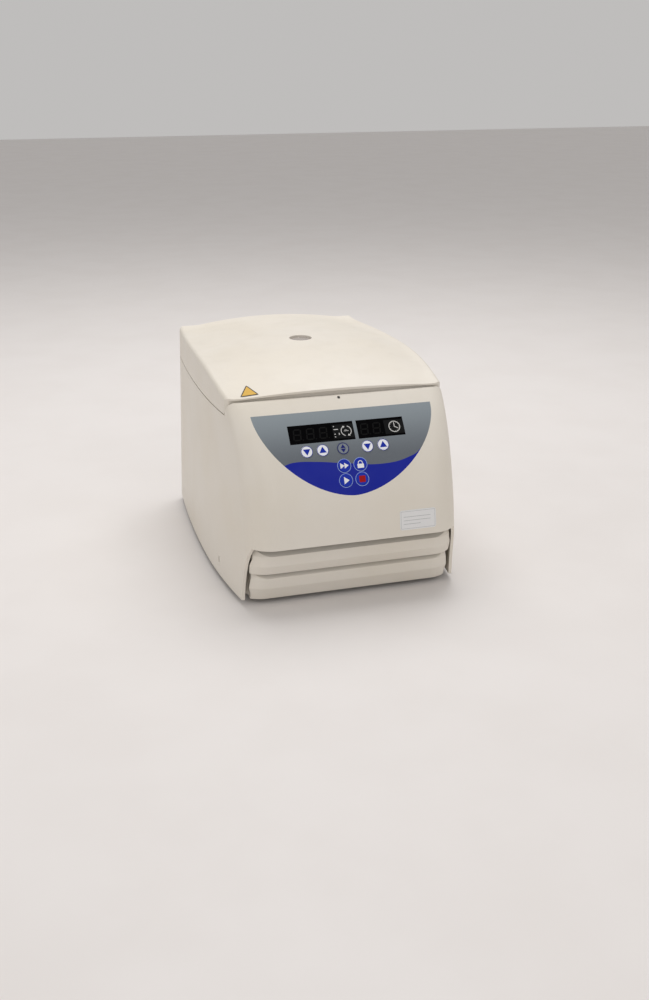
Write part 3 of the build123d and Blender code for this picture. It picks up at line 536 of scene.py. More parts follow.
ROTOR_LID_METAL = WorkedMetal("turned_rotor_lid", tone(198, 200, 203), 0.24, Cut.TURNED)
CORE = WorkedMetal("stacked_core", tone(92, 84, 76), 0.5, Cut.LAYERED)
SPRING = WorkedMetal("oiled_spring", tone(120, 121, 124), 0.3, Cut.BRUSHED)
BRASS = WorkedMetal("plain_brass", tone(196, 164, 92), 0.3, Cut.BRUSHED)
HINGE = PowderCoat("hinge_enamel", tone(96, 97, 99), 0.45)
BRACKET = PowderCoat("bracket_enamel", tone(62, 62, 64), 0.5)
PANEL_COAT = PowderCoat("panel_enamel", tone(196, 192, 182), 0.48)
FOIL = PrintedFoil("front_foil", tone(134, 143, 149), 0.4)
WINDOW = ClearPlastic("smoked_window_finish", tone(1, 1, 2), 0.16, gloss=0.05)
PORT = ClearPlastic("port_pane", tone(214, 204, 196), 0.1, clearness=0.55)
BOARD = SolderMask("green_board", tone(16, 82, 44), 0.35)
LABEL = Ink("silvered_label", tone(222, 222, 222), 0.34, gloss=0.5)
KEY_WHITE = Ink("key_white_cap", tone(233, 235, 240), 0.36)
KEY_GREY = Ink("key_grey_cap", tone(120, 128, 135), 0.4)
KEY_BLUE = Ink("key_blue_cap", tone(0, 40, 166), 0.36, gloss=0.2)
INK_BLUE = Ink("blue_ink", tone(4, 38, 160), 0.4, gloss=0.2)
INK_NAVY = Ink("navy_ink", tone(8, 18, 104), 0.42, gloss=0.2)
INK_PALE = Ink("pale_blue_ink", tone(150, 174, 232), 0.4)
INK_WHITE = Ink("white_ink", tone(232, 233, 236), 0.4)
INK_RED = Ink("red_ink", tone(158, 2, 6), 0.4, gloss=0.15)
INK_SMOKE = Ink("unlit_segment", tone(13, 13, 13), 0.45, gloss=0.08)
INK_PLATE = Ink("icon_field", tone(17, 18, 19), 0.4, gloss=0.08)
INK_ICON = Ink("display_icon", tone(196, 196, 194), 0.45)
# Dark print on the lid triangle's edge and the rotor's place marks; also painted shade for the screw heads'
# cross recesses and the release slot
DARK_PRINT_AND_SHADE = Ink("dark_print_and_painted_shade", tone(34, 31, 28), 0.5)
INK_YELLOW = Ink("yellow_film", tone(206, 160, 24), 0.4)
INK_RULE = Ink("label_rule", tone(172, 173, 174), 0.45)
FLOOR = MouldedPlastic(
    "floor_paint", tone(226, 222, 220), 0.6, tone(219, 214, 211), drift=0.3, wear=0.0, relief=0.0
)

CAD_FINISHES: dict[Finish, tuple[str, ...]] = {
    CASING: ("housing_shell", "front_grille", "lid_shell"),
    LINER: ("lid_liner", "port_tube"),
    TRAY: ("base_tray",),
    RUBBER: ("feet", "motor_mounts", "lid_bumpers"),
    GASKET: ("chamber_gasket",),
    BLACK: ("mains_inlet", "fuse_drawer", "switch_frame"),
    ROCKER: ("power_rocker",),
    KNOB: ("rotor_knob",),
    LATCH_PLASTIC: ("latch_housing",),
    MODULE: ("display_modules",),
    STEEL: (
        "foot_screws", "lid_screws", "panel_screws", "motor_bearings", "drive_shaft", "lid_striker",
        "hinge_pin", "latch_pin", "latch_hook",
    ),
    BOWL_STEEL: ("chamber_bowl",),
    MOTOR_METAL: ("motor_housing", "latch_motor"),
    ROTOR_METAL: ("rotor",),
    ROTOR_LID_METAL: ("rotor_lid",),
    CORE: ("motor_stator", "motor_armature"),
    SPRING: ("lid_springs",),
    BRASS: ("board_standoffs",),
    HINGE: ("hinge_arms", "hinge_brackets"),
    BRACKET: ("motor_bracket",),
    PANEL_COAT: ("rear_panel",),
    FOIL: ("panel_foil",),
    WINDOW: ("display_windows",),
    PORT: ("port_window",),
    BOARD: ("control_board", "power_board"),
    LABEL: ("blank_label",),
    KEY_WHITE: ("key_speed_down", "key_speed_up", "key_time_down", "key_time_up"),
    KEY_GREY: ("key_mode",),
    KEY_BLUE: ("key_quick_run", "key_open", "key_start", "key_stop"),
}


def dress_cad() -> None:
    """Put each finish on the CAD nodes that have it."""
    for finish, nodes in CAD_FINISHES.items():
        for node in nodes:
            for slot in frame["nodes"][node].material_slots:
                slot.material = finish.material()
            LOG.info("%s has the finish %s", node, finish.name)


# ---------------------------------------------------------------- faces and prints


class Face:
    """A surface that marks are laid on, with places across and up it."""

    def point(self, across: float, up: float, lift: float) -> Vector:
        """Return the point at a place on the face, at a height over it."""
        raise NotImplementedError


@dataclass(frozen=True)
class FlatFace(Face):
    """A flat face, seen with its right hand along one direction and up along another."""

    origin: Vector
    right: Vector
    upward: Vector

    def point(self, across: float, up: float, lift: float) -> Vector:
        """Return the point at a place on the face, at a height over it."""
        return self.origin + self.right * across + self.upward * up + self.right.cross(self.upward) * lift


@dataclass(frozen=True)
class BarrelFace(Face):
    """The casing's front, a barrel curve about an axis from side to side."""

    axis_y: float = 0.16 * MM
    axis_z: float = 56 * MM
    radius: float = 176.5 * MM

    def climb(self, height: float) -> float:
        """Return how far up the curve a height over the bench lies."""
        return self.radius * math.asin((height - self.axis_z) / self.radius)

    def point(self, across: float, up: float, lift: float) -> Vector:
        """Return the point at a place on the face, at a height over it."""
        angle = up / self.radius
        reach = self.radius + lift
        return Vector((across, self.axis_y - reach * math.cos(angle), self.axis_z + reach * math.sin(angle)))

    def middle(self, node: str) -> tuple[float, float]:
        """Return how far across and up the curve the middle of a CAD node lies."""
        x, y, z = ((a + b) / 2 for a, b in zip(*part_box(node)))
        return x, math.atan2(z - self.axis_z, self.axis_y - y) * self.radius

    def cap(self, node: str, proud: float) -> FlatFace:
        """Find the flat face of a key's cap.

        Args:
            node: The key's CAD node.
            proud: How far the cap stands out of the foil.

        Returns:
            The cap's face, with its origin in the middle.
        """
        across, up = self.middle(node)
        angle = up / self.radius
        upward = Vector((0, math.sin(angle), math.cos(angle)))
        return FlatFace(self.point(across, up, proud), RIGHTWARD, upward)


class DrapedFace(Face):
    """The top of a CAD node, seen from above."""

    def __init__(self, node: str) -> None:
        """Read the node's triangles."""
        mesh = frame["nodes"][node].data
        corners = [v.co for v in mesh.vertices]
        self.surface = BVHTree.FromPolygons(corners, [tuple(p.vertices) for p in mesh.polygons])
        self.top = max(v.co.z for v in mesh.vertices) + 10 * MM

    def point(self, across: float, up: float, lift: float) -> Vector:
        """Return the point at a place on the face, at a height over it."""
        hit, normal, _, _ = self.surface.ray_cast(Vector((across, up, self.top)), -UPWARD)
        return hit + normal * lift


@dataclass
class Print:
    """Thin closed plates on one face, in one finish, that ride on one body."""

    name: str
    face: Face
    finish: Finish
    body: str
    slot: str
    low: float = -0.06 * MM
    high: float = 0.07 * MM
    mesh: bmesh.types.BMesh = field(default_factory=bmesh.new)

    def place(self, outline: Outline, lift: float) -> list[bmesh.types.BMVert]:
        """Add an outline's corners at a height over the face."""
        return [self.mesh.verts.new(self.face.point(u * MM, s * MM, lift)) for u, s in outline]

    def wall(self, low: list, high: list) -> None:
        """Join two loops of corners with quads that face away from the plate."""
        for i in range(len(low)):
            j = (i + 1) % len(low)
            self.mesh.faces.new((low[i], low[j], high[j], high[i]))

    def plate(self, outline: Outline) -> None:
        """Lay a plate with this anticlockwise outline, in millimetres."""
        low, high = self.place(outline, self.low), self.place(outline, self.high)
        self.mesh.faces.new(high)
        self.mesh.faces.new(list(reversed(low)))
        self.wall(low, high)

    def tile(self, left: float, low: float, right: float, high: float, rows: int = 1) -> None:
        """Lay a rectangle as a stack of low plates, so that it follows a curve."""
        step = (high - low) / rows
        for row in range(rows):
            base = low + row * step
            self.plate(((left, base), (right, base), (right, base + step), (left, base + step)))

    def disc(self, u: float, s: float, radius: float, corners: int = 24) -> None:
        """Lay a round plate."""
        self.plate(arc(u, s, radius, 0, 360, corners)[:-1])

    def ring(self, u: float, s: float, outer: float, inner: float, corners: int = 40) -> None:
        """Lay a closed ring."""
        loops = [
            self.place(arc(u, s, radius, 0, 360, corners)[:-1], lift)
            for radius, lift in ((outer, self.low), (outer, self.high), (inner, self.high), (inner, self.low))
        ]
        for first, second in zip(loops, loops[1:] + loops[:1]):
            self.wall(first, second)

    def bow(self, u: float, s: float, outer: float, inner: float, start: float, end: float) -> None:
        """Lay part of a ring between two angles in degrees."""
        self.plate(arc(u, s, outer, start, end, 14) + list(reversed(arc(u, s, inner, start, end, 14))))

    def stroke(self, start: tuple[float, float], end: tuple[float, float], width: float) -> None:
        """Lay a straight bar between two places."""
        run = Vector(end) - Vector(start)
        side = Vector((-run.y, run.x)).normalized() * width / 2
        corners = (Vector(start) - side, Vector(end) - side, Vector(end) + side, Vector(start) + side)
        self.plate([tuple(corner) for corner in corners])

    def finish_piece(self) -> bpy.types.Object:
        """Turn the plates into a piece that rides on its body.

        Returns:
            The piece.
        """
        mesh = bpy.data.meshes.new(self.name)
        self.mesh.to_mesh(mesh)
        self.mesh.free()
        return add_piece(self.name, mesh, self.finish, self.body)


def arc(u: float, s: float, radius: float, start: float, end: float, steps: int) -> list[tuple[float, float]]:
    """Return points along an arc, anticlockwise between two angles in degrees."""
    angles = [math.radians(start + (end - start) * i / steps) for i in range(steps + 1)]
    return [(u + radius * math.cos(a), s + radius * math.sin(a)) for a in angles]


def rounded(left: float, low: float, right: float, high: float, radius: float) -> list[tuple[float, float]]:
    """Return a rectangle's outline with rounded corners, anticlockwise."""
    corners = (
        (right - radius, high - radius, 0), (left + radius, high - radius, 90),
        (left + radius, low + radius, 180), (right - radius, low + radius, 270),
    )
    return [point for u, s, turn in corners for point in arc(u, s, radius, turn, turn + 90, 5)]


def add_piece(name: str, mesh: bpy.types.Mesh, finish: Finish, body: str) -> bpy.types.Object:
    """Add a mesh to the scene as a piece of the object.

    Args:
        name: The piece's name.
        mesh: Its mesh, already in place.
        finish: Its finish.
        body: The CAD body that it rides on.

    Returns:
        The piece.
    """
    piece = bpy.data.objects.new(name, mesh)
    bpy.context.scene.collection.objects.link(piece)
    if not mesh.materials:
        mesh.materials.append(finish.material())
    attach(piece, body)
    LOG.info("%s rides on %s with %d faces", name, body, len(mesh.polygons))
    return piece


def slot_of(node: str) -> str:
    """Return the record's material slot of a CAD node."""
    return next(part["material_slot"] for part in frame["record"]["subparts"] if part["node"] == node)


# ---------------------------------------------------------------- repeated fittings


@dataclass
class Repeater:
    """A geometry tree that puts a small part at each point of a pattern."""

    name: str

    def start(self, inputs: dict[str, float | int]) -> tuple[Graph, dict, bpy.types.Node]:
        """Open the tree with its named inputs.

        Args:
            inputs: Input name to default, a whole number for counts and seeds.

        Returns:
            The graph, the inputs by name, and the output node.
        """
        tree = bpy.data.node_groups.new(self.name, "GeometryNodeTree")
        tree.interface.new_socket("Geometry", in_out="INPUT", socket_type="NodeSocketGeometry")
        for label, default in inputs.items():
            kind = "NodeSocketInt" if isinstance(default, int) else "NodeSocketFloat"
            tree.interface.new_socket(label, in_out="INPUT", socket_type=kind).default_value = default
        tree.interface.new_socket("Material", in_out="INPUT", socket_type="NodeSocketMaterial")
        tree.interface.new_socket("Geometry", in_out="OUTPUT", socket_type="NodeSocketGeometry")
        graph = Graph(tree)
        source = graph.add("NodeGroupInput")
        return graph, source.outputs, graph.add("NodeGroupOutput")

    def close(self, graph: Graph, given: dict, out: bpy.types.Node, geometry: bpy.types.NodeSocket) -> None:
        """End the tree with real geometry in its material."""
        real = graph.add("GeometryNodeRealizeInstances", {0: geometry})
        paint = {"Geometry": real.outputs[0], "Material": given["Material"]}
        painted = graph.add("GeometryNodeSetMaterial", paint)
        graph.tree.links.new(painted.outputs[0], out.inputs[0])

    def grow(
        self,
        tree: bpy.types.NodeTree,
        points: Iterable[Vector],
        values: dict,
        finish: Finish,
        body: str,
        slot: str,
    ) -> bpy.types.Object:
        """Run the tree over some points and keep the result as a plain mesh.

        Args:
            tree: The geometry tree.
            points: Where its parts go.
            values: Input name to value.
            finish: The parts' finish.
            body: The CAD body that they ride on.
            slot: The record's material slot; not used.

        Returns:
            The piece.
        """
        seed_mesh = bpy.data.meshes.new(self.name + "_points")
        seed_mesh.from_pydata([tuple(point) for point in points], [], [])
        carrier = bpy.data.objects.new(self.name + "_points", seed_mesh)
        bpy.context.scene.collection.objects.link(carrier)
        modifier = carrier.modifiers.new("repeat", "NODES")
        modifier.node_group = tree
        sockets = {item.name: item.identifier for item in tree.interface.items_tree if item.in_out == "INPUT"}
        for label, value in values.items():
            modifier[sockets[label]] = value
        modifier[sockets["Material"]] = finish.material()
        depsgraph = bpy.context.evaluated_depsgraph_get()
        depsgraph.update()
        mesh = bpy.data.meshes.new_from_object(carrier.evaluated_get(depsgraph), depsgraph=depsgraph)
        mesh.name = self.name
        carrier.modifiers.remove(modifier)
        bpy.data.objects.remove(carrier)
        return add_piece(self.name, mesh, finish, body)


@dataclass
class ScrewRecessShade(Repeater):
    """Flat dark crosses on screw heads that all face one way: painted shade in the place of the driver
    recesses.
    """

    span: float = 3.4 * MM
    width: float = 0.75 * MM
    depth: float = 0.12 * MM
    seed: int = 3

    def build(
        self, points: Iterable[Vector], turn: tuple[float, float, float], body: str
    ) -> bpy.types.Object:
        """Lay a dark cross on each head, painted shade in the place of a driver recess.

        Args:
            points: The middles of the heads' faces.
            turn: The turn that lays the cross, made in the XY plane, on the heads.
            body: The CAD body that the screws ride on.

        Returns:
            The piece.
        """
        values = {"Span": self.span, "Width": self.width, "Depth": self.depth, "Seed": self.seed}
        graph, given, out = self.start(values)
        # The crosses are thin dark plates in the head's face, not cut hollows: their darkness is painted
        # shade
        bars = []
        for long, short in (("Span", "Width"), ("Width", "Span")):
            size = graph.add("ShaderNodeCombineXYZ", {0: given[long], 1: given[short], 2: given["Depth"]})
            bars.append(graph.add("GeometryNodeMeshCube", {"Size": size.outputs[0]}).outputs[0])
        cross = graph.add("GeometryNodeJoinGeometry")
        for bar in bars:
            graph.tree.links.new(bar, cross.inputs[0])
        limits = {"Min": 0.0, "Max": 1.5, "Seed": given["Seed"]}
        spin = graph.add("FunctionNodeRandomValue", limits, data_type="FLOAT")
        spins = [socket for socket in spin.outputs if socket.enabled and socket.type == "VALUE"]
        turned = graph.add("ShaderNodeCombineXYZ", {2: spins[0]})
        points_in = graph.add("GeometryNodeMeshToPoints", {0: given["Geometry"]})
        spread = graph.add(
            "GeometryNodeInstanceOnPoints",
            {"Points": points_in.outputs[0], "Instance": cross.outputs[0], "Rotation": turn},
        )
        laid = graph.add(
            "GeometryNodeRotateInstances",
            {"Instances": spread.outputs[0], "Rotation": turned.outputs[0], "Local Space": True},
        )
        self.close(graph, given, out, laid.outputs[0])
        return self.grow(graph.tree, points, values, DARK_PRINT_AND_SHADE, body, "steel")


@dataclass
class RimMarks(Repeater):
    """Short upright marks at equal steps round a rim, one to each rotor place."""

    radius: float = 84.0 * MM
    count: int = 24
    length: float = 4.0 * MM
    width: float = 0.9 * MM
    thickness: float = 0.16 * MM

    def build(self, centre: Vector, body: str) -> bpy.types.Object:
        """Put the marks round the rim.

        Args:
            centre: The middle of the ring.
            body: The CAD body that they ride on.

        Returns:
            The piece.
        """
        values = {"Radius": self.radius, "Count": self.count, "Length": self.length, "Width": self.width}
        graph, given, out = self.start(values)
        ring = graph.add("GeometryNodeCurvePrimitiveCircle", {"Radius": given["Radius"], "Resolution": 192})
        spacing = {"Curve": ring.outputs[0], "Count": given["Count"]}
        steps = graph.add("GeometryNodeCurveToPoints", spacing, mode="COUNT")
        size = graph.add("ShaderNodeCombineXYZ", {0: given["Length"], 1: given["Width"], 2: self.thickness})
        mark = graph.add("GeometryNodeMeshCube", {"Size": size.outputs[0]})
        spot = graph.add("GeometryNodeInputPosition").outputs[0]
        out_way = graph.add("FunctionNodeAlignRotationToVector", {"Vector": spot}, axis="X", pivot_axis="Z")
        spread = graph.add(
            "GeometryNodeInstanceOnPoints",
            {"Points": steps.outputs["Points"], "Instance": mark.outputs[0], "Rotation": out_way.outputs[0]},
        )
        placing = {"Points": given["Geometry"], "Instance": spread.outputs[0]}
        where = graph.add("GeometryNodeInstanceOnPoints", placing)
        self.close(graph, given, out, where.outputs[0])
        return self.grow(graph.tree, [centre], values, DARK_PRINT_AND_SHADE, body, "rotor_lid_alloy")


@dataclass
class GuardMesh(Repeater):
    """A fine wire guard behind the cooling slots."""

    width: float = 150.0 * MM
    height: float = 50.0 * MM
    pitch: float = 2.5 * MM
    wire: float = 0.3 * MM

    def build(self, centre: Vector, body: str) -> bpy.types.Object:
        """Weave the guard, upright and facing front and back.

        Args:
            centre: The guard's middle.
            body: The CAD body that it rides on.

        Returns:
            The piece.
        """
        values = {
            "Width": self.width,
            "Height": self.height,
            "Across": round(self.width / self.pitch) + 1,
            "Up": round(self.height / self.pitch) + 1,
            "Wire": self.wire,
        }
        graph, given, out = self.start(values)
        sheet = graph.add(
            "GeometryNodeMeshGrid",
            {
                "Size X": given["Width"],
                "Size Y": given["Height"],
                "Vertices X": given["Across"],
                "Vertices Y": given["Up"],
            },
        )
        line = graph.add("GeometryNodeMeshToCurve", {"Mesh": sheet.outputs[0]})
        section = graph.add("GeometryNodeCurvePrimitiveCircle", {"Radius": given["Wire"], "Resolution": 4})
        sweep = {"Curve": line.outputs[0], "Profile Curve": section.outputs[0], "Fill Caps": True}
        wires = graph.add("GeometryNodeCurveToMesh", sweep)
        stand = {"Geometry": wires.outputs[0], "Rotation": (math.pi / 2, 0, 0)}
        upright = graph.add("GeometryNodeTransform", stand)
        placing = {"Points": given["Geometry"], "Instance": upright.outputs[0]}
        where = graph.add("GeometryNodeInstanceOnPoints", placing)
        self.close(graph, given, out, where.outputs[0])
        return self.grow(graph.tree, [centre], values, SPRING, body, "steel")


# ---------------------------------------------------------------- sub-assemblies


@dataclass
class ControlPanel:
    """The front foil's keys, displays and their printed marks."""

    front: BarrelFace = field(default_factory=BarrelFace)
    cap_proud: float = 0.5 * MM
    row_radius: float = 5.85
    grid_ring_radii: tuple[float, float] = (7.0, 6.5)
    window_top: float = 176.3
    window_low: float = 161.2
    digit_size: tuple[float, float] = (7.0, 11.0)
    digit_places: tuple[float, ...] = (-50.8, -37.6, -24.4, 18.0, 30.8)
    icon_fields: tuple[tuple[float, float], ...] = ((-14.6, 6.8), (39.0, 59.0))
    icon_field_half: float = 7.4

    def build(self) -> None:
        """Print the keys and the displays."""
        for setting in ("speed", "time"):
            for way in ("down", "up"):
                self.arrow_key(f"key_{setting}_{way}", way == "up")
        self.mode_key("key_mode")
        self.run_keys()
        self.open_key("key_open")
        self.displays()

    def cap_print(self, node: str, mark: str, finish: Finish) -> Print:
        """Start a print on a key's cap that rides with the key."""
        return Print(f"{node}_{mark}", self.front.cap(node, self.cap_proud), finish, node, slot_of(node))

    def arrow_key(self, node: str, points_up: bool) -> None:
        """Print a ring and a triangle on a white key."""
        ring = self.cap_print(node, "ring", INK_BLUE)
        ring.ring(0, 0, self.row_radius, self.row_radius - 0.45)
        ring.finish_piece()
        arrow = self.cap_print(node, "arrow", INK_BLUE)
        tip = 3.8 if points_up else -3.8
        base = -tip * 0.66
        corners = [(-3.7, base), (3.7, base), (0.0, tip)]
        arrow.plate(corners if points_up else list(reversed(corners)))
        arrow.finish_piece()

    def mode_key(self, node: str) -> None:
        """Print a ring and an up-and-down diamond on the grey key."""
        mark = self.cap_print(node, "mark", INK_NAVY)
        mark.ring(0, 0, self.row_radius, self.row_radius - 0.7)
        mark.plate([(-2.6, 0.35), (2.6, 0.35), (0, 4.2)])
        mark.plate([(2.6, -0.35), (-2.6, -0.35), (0, -4.2)])
        mark.finish_piece()

    def grid_ring(self, node: str) -> None:
        """Print the pale ring of a blue key."""
        across, up = self.front.middle(node)
        ring = Print(f"{node}_ring", self.front, INK_PALE, "root", "foil")
        ring.ring(across / MM, up / MM, *self.grid_ring_radii)
        ring.finish_piece()

    def run_keys(self) -> None:
        for node in ("key_quick_run", "key_start", "key_stop"):
            self.grid_ring(node)
        quick = self.cap_print("key_quick_run", "mark", INK_WHITE)
        for left in (-4.1, 0.1):
            quick.plate([(left, -2.9), (left + 4.3, 0), (left, 2.9)])
        quick.finish_piece()
        start = self.cap_print("key_start", "mark", INK_WHITE)
        start.plate([(-2.0, -3.6), (3.4, 0), (-2.0, 3.6)])
        start.finish_piece()
        stop = self.cap_print("key_stop", "mark", INK_RED)
        stop.plate(rounded(-3.2, -3.2, 3.2, 3.2, 0.7))
        stop.finish_piece()

    def open_key(self, node: str) -> None:
        """Print a padlock with its shackle up."""
        self.grid_ring(node)
        lock = self.cap_print(node, "mark", INK_WHITE)
        lock.plate(rounded(-3.3, -3.7, 3.3, 0.4, 0.4))
        lock.bow(0, 1.3, 2.5, 1.75, 0, 180)
        for left in (-2.5, 1.75):
            lock.plate([(left, 0.3), (left + 0.75, 0.3), (left + 0.75, 1.4), (left, 1.4)])
        lock.finish_piece()

    def displays(self) -> None:
        """Print both windows: unlit digits, the icon fields and their icons."""
        middle = self.front.climb((self.window_top + self.window_low) / 2 * MM) / MM
        height = self.digit_size[1]
        digits = self.glass_print("display_digits", INK_SMOKE, 0.05 * MM)
        for u in self.digit_places:
            self.digit(digits, u, middle)
            digits.disc(u + 5.2, middle - height / 2, 0.6, 10)
        digits.finish_piece()
        fields = self.glass_print("display_icon_fields", INK_PLATE, 0.04 * MM)
        low, high = middle - self.icon_field_half, middle + self.icon_field_half
        for left, right in self.icon_fields:
            fields.tile(left, low, right, high, rows=6)
        fields.finish_piece()
        icons = self.glass_print("display_icons", INK_ICON, 0.1 * MM)
        self.clock(icons, 49.4, middle)
        self.spin_arrows(icons, -0.8, middle)
        for up, length in ((2.3, 4.6), (-2.6, 1.3), (5.6, 1.0), (-5.4, 1.2)):
            icons.stroke((-13.4, middle + up), (-13.4 + length, middle + up), 0.85)
        icons.stroke((-8.4, middle - 3.6), (-8.4, middle - 1.6), 0.9)
        icons.finish_piece()

    def glass_print(self, name: str, finish: Finish, high: float) -> Print:
        """Start a print on the windows."""
        return Print(name, self.front, finish, "root", "smoked_window", high=high)

    def digit(self, sheet: Print, u: float, s: float) -> None:
        """Lay the seven bars of a digit, centred at a place and leaning slightly."""
        half_width, half_height = self.digit_size[0] / 2, self.digit_size[1] / 2
        lean, bar, gap = 0.1, 1.25, 0.35
        reach = half_width - gap - 0.5
        for level in (-half_height, 0.0, half_height):
            middle = u + lean * level
            sheet.stroke((middle - reach, s + level), (middle + reach, s + level), bar)
        for side in (-half_width, half_width):
            for low, high in ((-half_height + gap, -gap), (gap, half_height - gap)):
                sheet.stroke((u + side + lean * low, s + low), (u + side + lean * high, s + high), bar)

    def clock(self, sheet: Print, u: float, s: float) -> None:
        """Lay a clock: a ring, two hands and the hour ticks."""
        sheet.ring(u, s, 6.0, 5.2)
        sheet.stroke((u, s - 0.3), (u, s + 4.3), 0.8)
        sheet.stroke((u, s), (u + 3.6, s - 2.2), 0.8)
        for hour in range(12):
            angle = math.radians(hour * 30)
            way = Vector((math.cos(angle), math.sin(angle)))
            inner, outer = ((u + reach * way.x, s + reach * way.y) for reach in (4.4, 4.95))
            sheet.stroke(inner, outer, 0.35)

    def spin_arrows(self, sheet: Print, u: float, s: float) -> None:
        """Lay the turning arrows of the speed icon round a short bar."""
        for start in (112, 292):
            sheet.bow(u, s, 5.5, 4.75, start, start + 140)
            tip = Vector((math.cos(math.radians(start - 12)), math.sin(math.radians(start - 12)))) * 5.1
            root = Vector((math.cos(math.radians(start + 10)), math.sin(math.radians(start + 10))))
            corners = (tip, root * 6.5, root * 3.7)
            sheet.plate([(u + corner.x, s + corner.y) for corner in corners])
        sheet.stroke((u - 2.4, s), (u + 2.4, s), 0.55)
        sheet.stroke((u - 1.6, s + 1.1), (u + 0.8, s + 1.1), 0.35)


@dataclass
class CasingMarks:
    """What is stuck on the casing and lid: the blank label's rules, the release slot's painted shade and the
    plain triangle.
    """

    front: BarrelFace = field(default_factory=BarrelFace)
    label_middle: tuple[float, float] = (62.0, 83.2)
    label_size: tuple[float, float] = (38.0, 19.6)
    triangle: tuple[tuple[float, float], ...] = ((-98.2, -99.0), (-79.0, -98.8), (-87.0, -77.6))
    film_steps: int = 8
    tip_share: float = 0.94
    release_z: float = 195.4 * MM

    def build(self) -> None:
        """Lay all the marks."""
        self.label_rules()
        self.painted_release_shade()
        self.film_triangle("lid_triangle_edge", DARK_PRINT_AND_SHADE, 1.0, 0.28 * MM, True)
        self.film_triangle("lid_triangle", INK_YELLOW, 0.8, 0.34 * MM, False)

    def label_rules(self) -> None:
        """Print a border and ruled lines on the blank label."""
        u = self.label_middle[0]
        s = self.front.climb(self.label_middle[1] * MM) / MM
        half_width, half_height = self.label_size[0] / 2 - 1.2, self.label_size[1] / 2 - 1.2
        rules = Print("label_rules", self.front, INK_RULE, "root", "label", 0.2 * MM, 0.36 * MM)
        for up in (-half_height, half_height):
            rules.stroke((u - half_width, s + up), (u + half_width, s + up), 0.3)
        for side in (-half_width, half_width):
            rules.tile(u + side - 0.15, s - half_height, u + side + 0.15, s + half_height, rows=6)
        start = u - half_width + 2.5
        for up, share in ((3.2, 0.8), (-0.4, 0.8), (-4.0, 0.5)):
            rules.stroke((start, s + up), (start + 2 * half_width * share, s + up), 0.45)
        rules.finish_piece()

    def painted_release_shade(self) -> None:
        """Lay a small dark plate at the front's top edge: painted shade in the place of the hollow of the
        lid's emergency release slot.
        """
        s = self.front.climb(self.release_z) / MM
        # A flat dark plate, not a cut: painted shade of the slot's hollow
        slot = Print("release_slot_painted_shade", self.front, DARK_PRINT_AND_SHADE, "root", "black_plastic", -0.3 * MM, 0.06 * MM)
        slot.plate(rounded(-1.3, s - 1.7, 1.3, s + 1.3, 0.6))
        slot.finish_piece()

    def film_triangle(self, name: str, finish: Finish, scale: float, lift: float, blunt_tips: bool) -> None:
        """Drape a triangle of film over the lid.

        Args:
            name: The piece's name.
            finish: Its finish.
            scale: Its size as a share of the whole mark.
            lift: Its top's height over the lid.
            blunt_tips: Whether its tips are drawn in a little.
        """
        centre = sum((Vector(corner) for corner in self.triangle), Vector((0, 0))) / 3
        tips = [centre + (Vector(corner) - centre) * scale for corner in self.triangle]
        rows = self.film_rows(tips, centre, self.tip_share if blunt_tips else 1.0)
        film = Print(name, DrapedFace("lid_shell"), finish, "lid", "label", -0.1 * MM, lift)
        low, high = ([film.place(row, height) for row in rows] for height in (film.low, film.high))
        for corners in self.film_cells(low):
            film.mesh.faces.new(tuple(reversed(corners)))
        for corners in self.film_cells(high):
            film.mesh.faces.new(corners)
        film.wall(self.film_rim(low), self.film_rim(high))
        film.finish_piece()

    def film_rows(
        self, tips: Sequence[Vector], centre: Vector, tip_share: float
    ) -> list[list[tuple[float, float]]]:
        """Work out the rows of places that the film is draped over, each one shorter than the last.

        Args:
            tips: The triangle's tips.
            centre: Its middle.
            tip_share: How far out from the middle the tips themselves reach.

        Returns:
            The rows, from the side between the first two tips to the third tip.
        """
        rows = []
        for i in range(self.film_steps + 1):
            row = []
            for j in range(self.film_steps + 1 - i):
                a, b = i / self.film_steps, j / self.film_steps
                spot = tips[0] * (1 - a - b) + tips[1] * b + tips[2] * a
                if max(a, b, 1 - a - b) > 0.999:
                    spot = centre + (spot - centre) * tip_share
                row.append((spot.x, spot.y))
            rows.append(row)
        return rows

    def film_cells(self, rows: list[list]) -> Iterable[tuple]:
        """Yield the corners of each small triangle between the rows."""
        for i in range(self.film_steps):
            for j in range(self.film_steps - i):
                yield rows[i][j], rows[i][j + 1], rows[i + 1][j]
                if j < self.film_steps - i - 1:
                    yield rows[i][j + 1], rows[i + 1][j + 1], rows[i + 1][j]

    def film_rim(self, rows: list[list]) -> list:
        """Return the corners round the outside of the rows."""
        return rows[0] + [row[-1] for row in rows[1:]] + [row[0] for row in rows[-2:0:-1]]


@dataclass
class Chamber:
    """The rotor's place marks and the turning arrows of its knob."""

    axis_y: float = 28.7 * MM
    mark_ring_radius: float = 21.2 * MM
    mark_length: float = 3.2 * MM
    arrow_starts: tuple[float, float] = (30.0, 210.0)
    arrow_sweep: float = 105.0

    def build(self) -> None:
        """Mark the rotor lid's places, and print the knob's turning arrows."""
        marks = RimMarks("rotor_place_marks", radius=self.mark_ring_radius, length=self.mark_length)
        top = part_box("rotor_lid")[1][2]
        marks.build(Vector((0, self.axis_y, top)), "rotor")
        knob_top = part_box("rotor_knob")[1][2]
        face = FlatFace(Vector((0, self.axis_y, knob_top)), RIGHTWARD, BACKWARD)
        arrows = Print("knob_arrows", face, INK_WHITE, "rotor_knob", "knob_plastic")
        for start in self.arrow_starts:
            arrows.bow(0, 0, 9.4, 8.2, start, start + self.arrow_sweep)
            corners = ((8.8, start - 14), (11.0, start + 2), (6.6, start + 2))
            arrows.plate([arc(0, 0, radius, angle, angle, 1)[0] for radius, angle in corners])
        arrows.finish_piece()


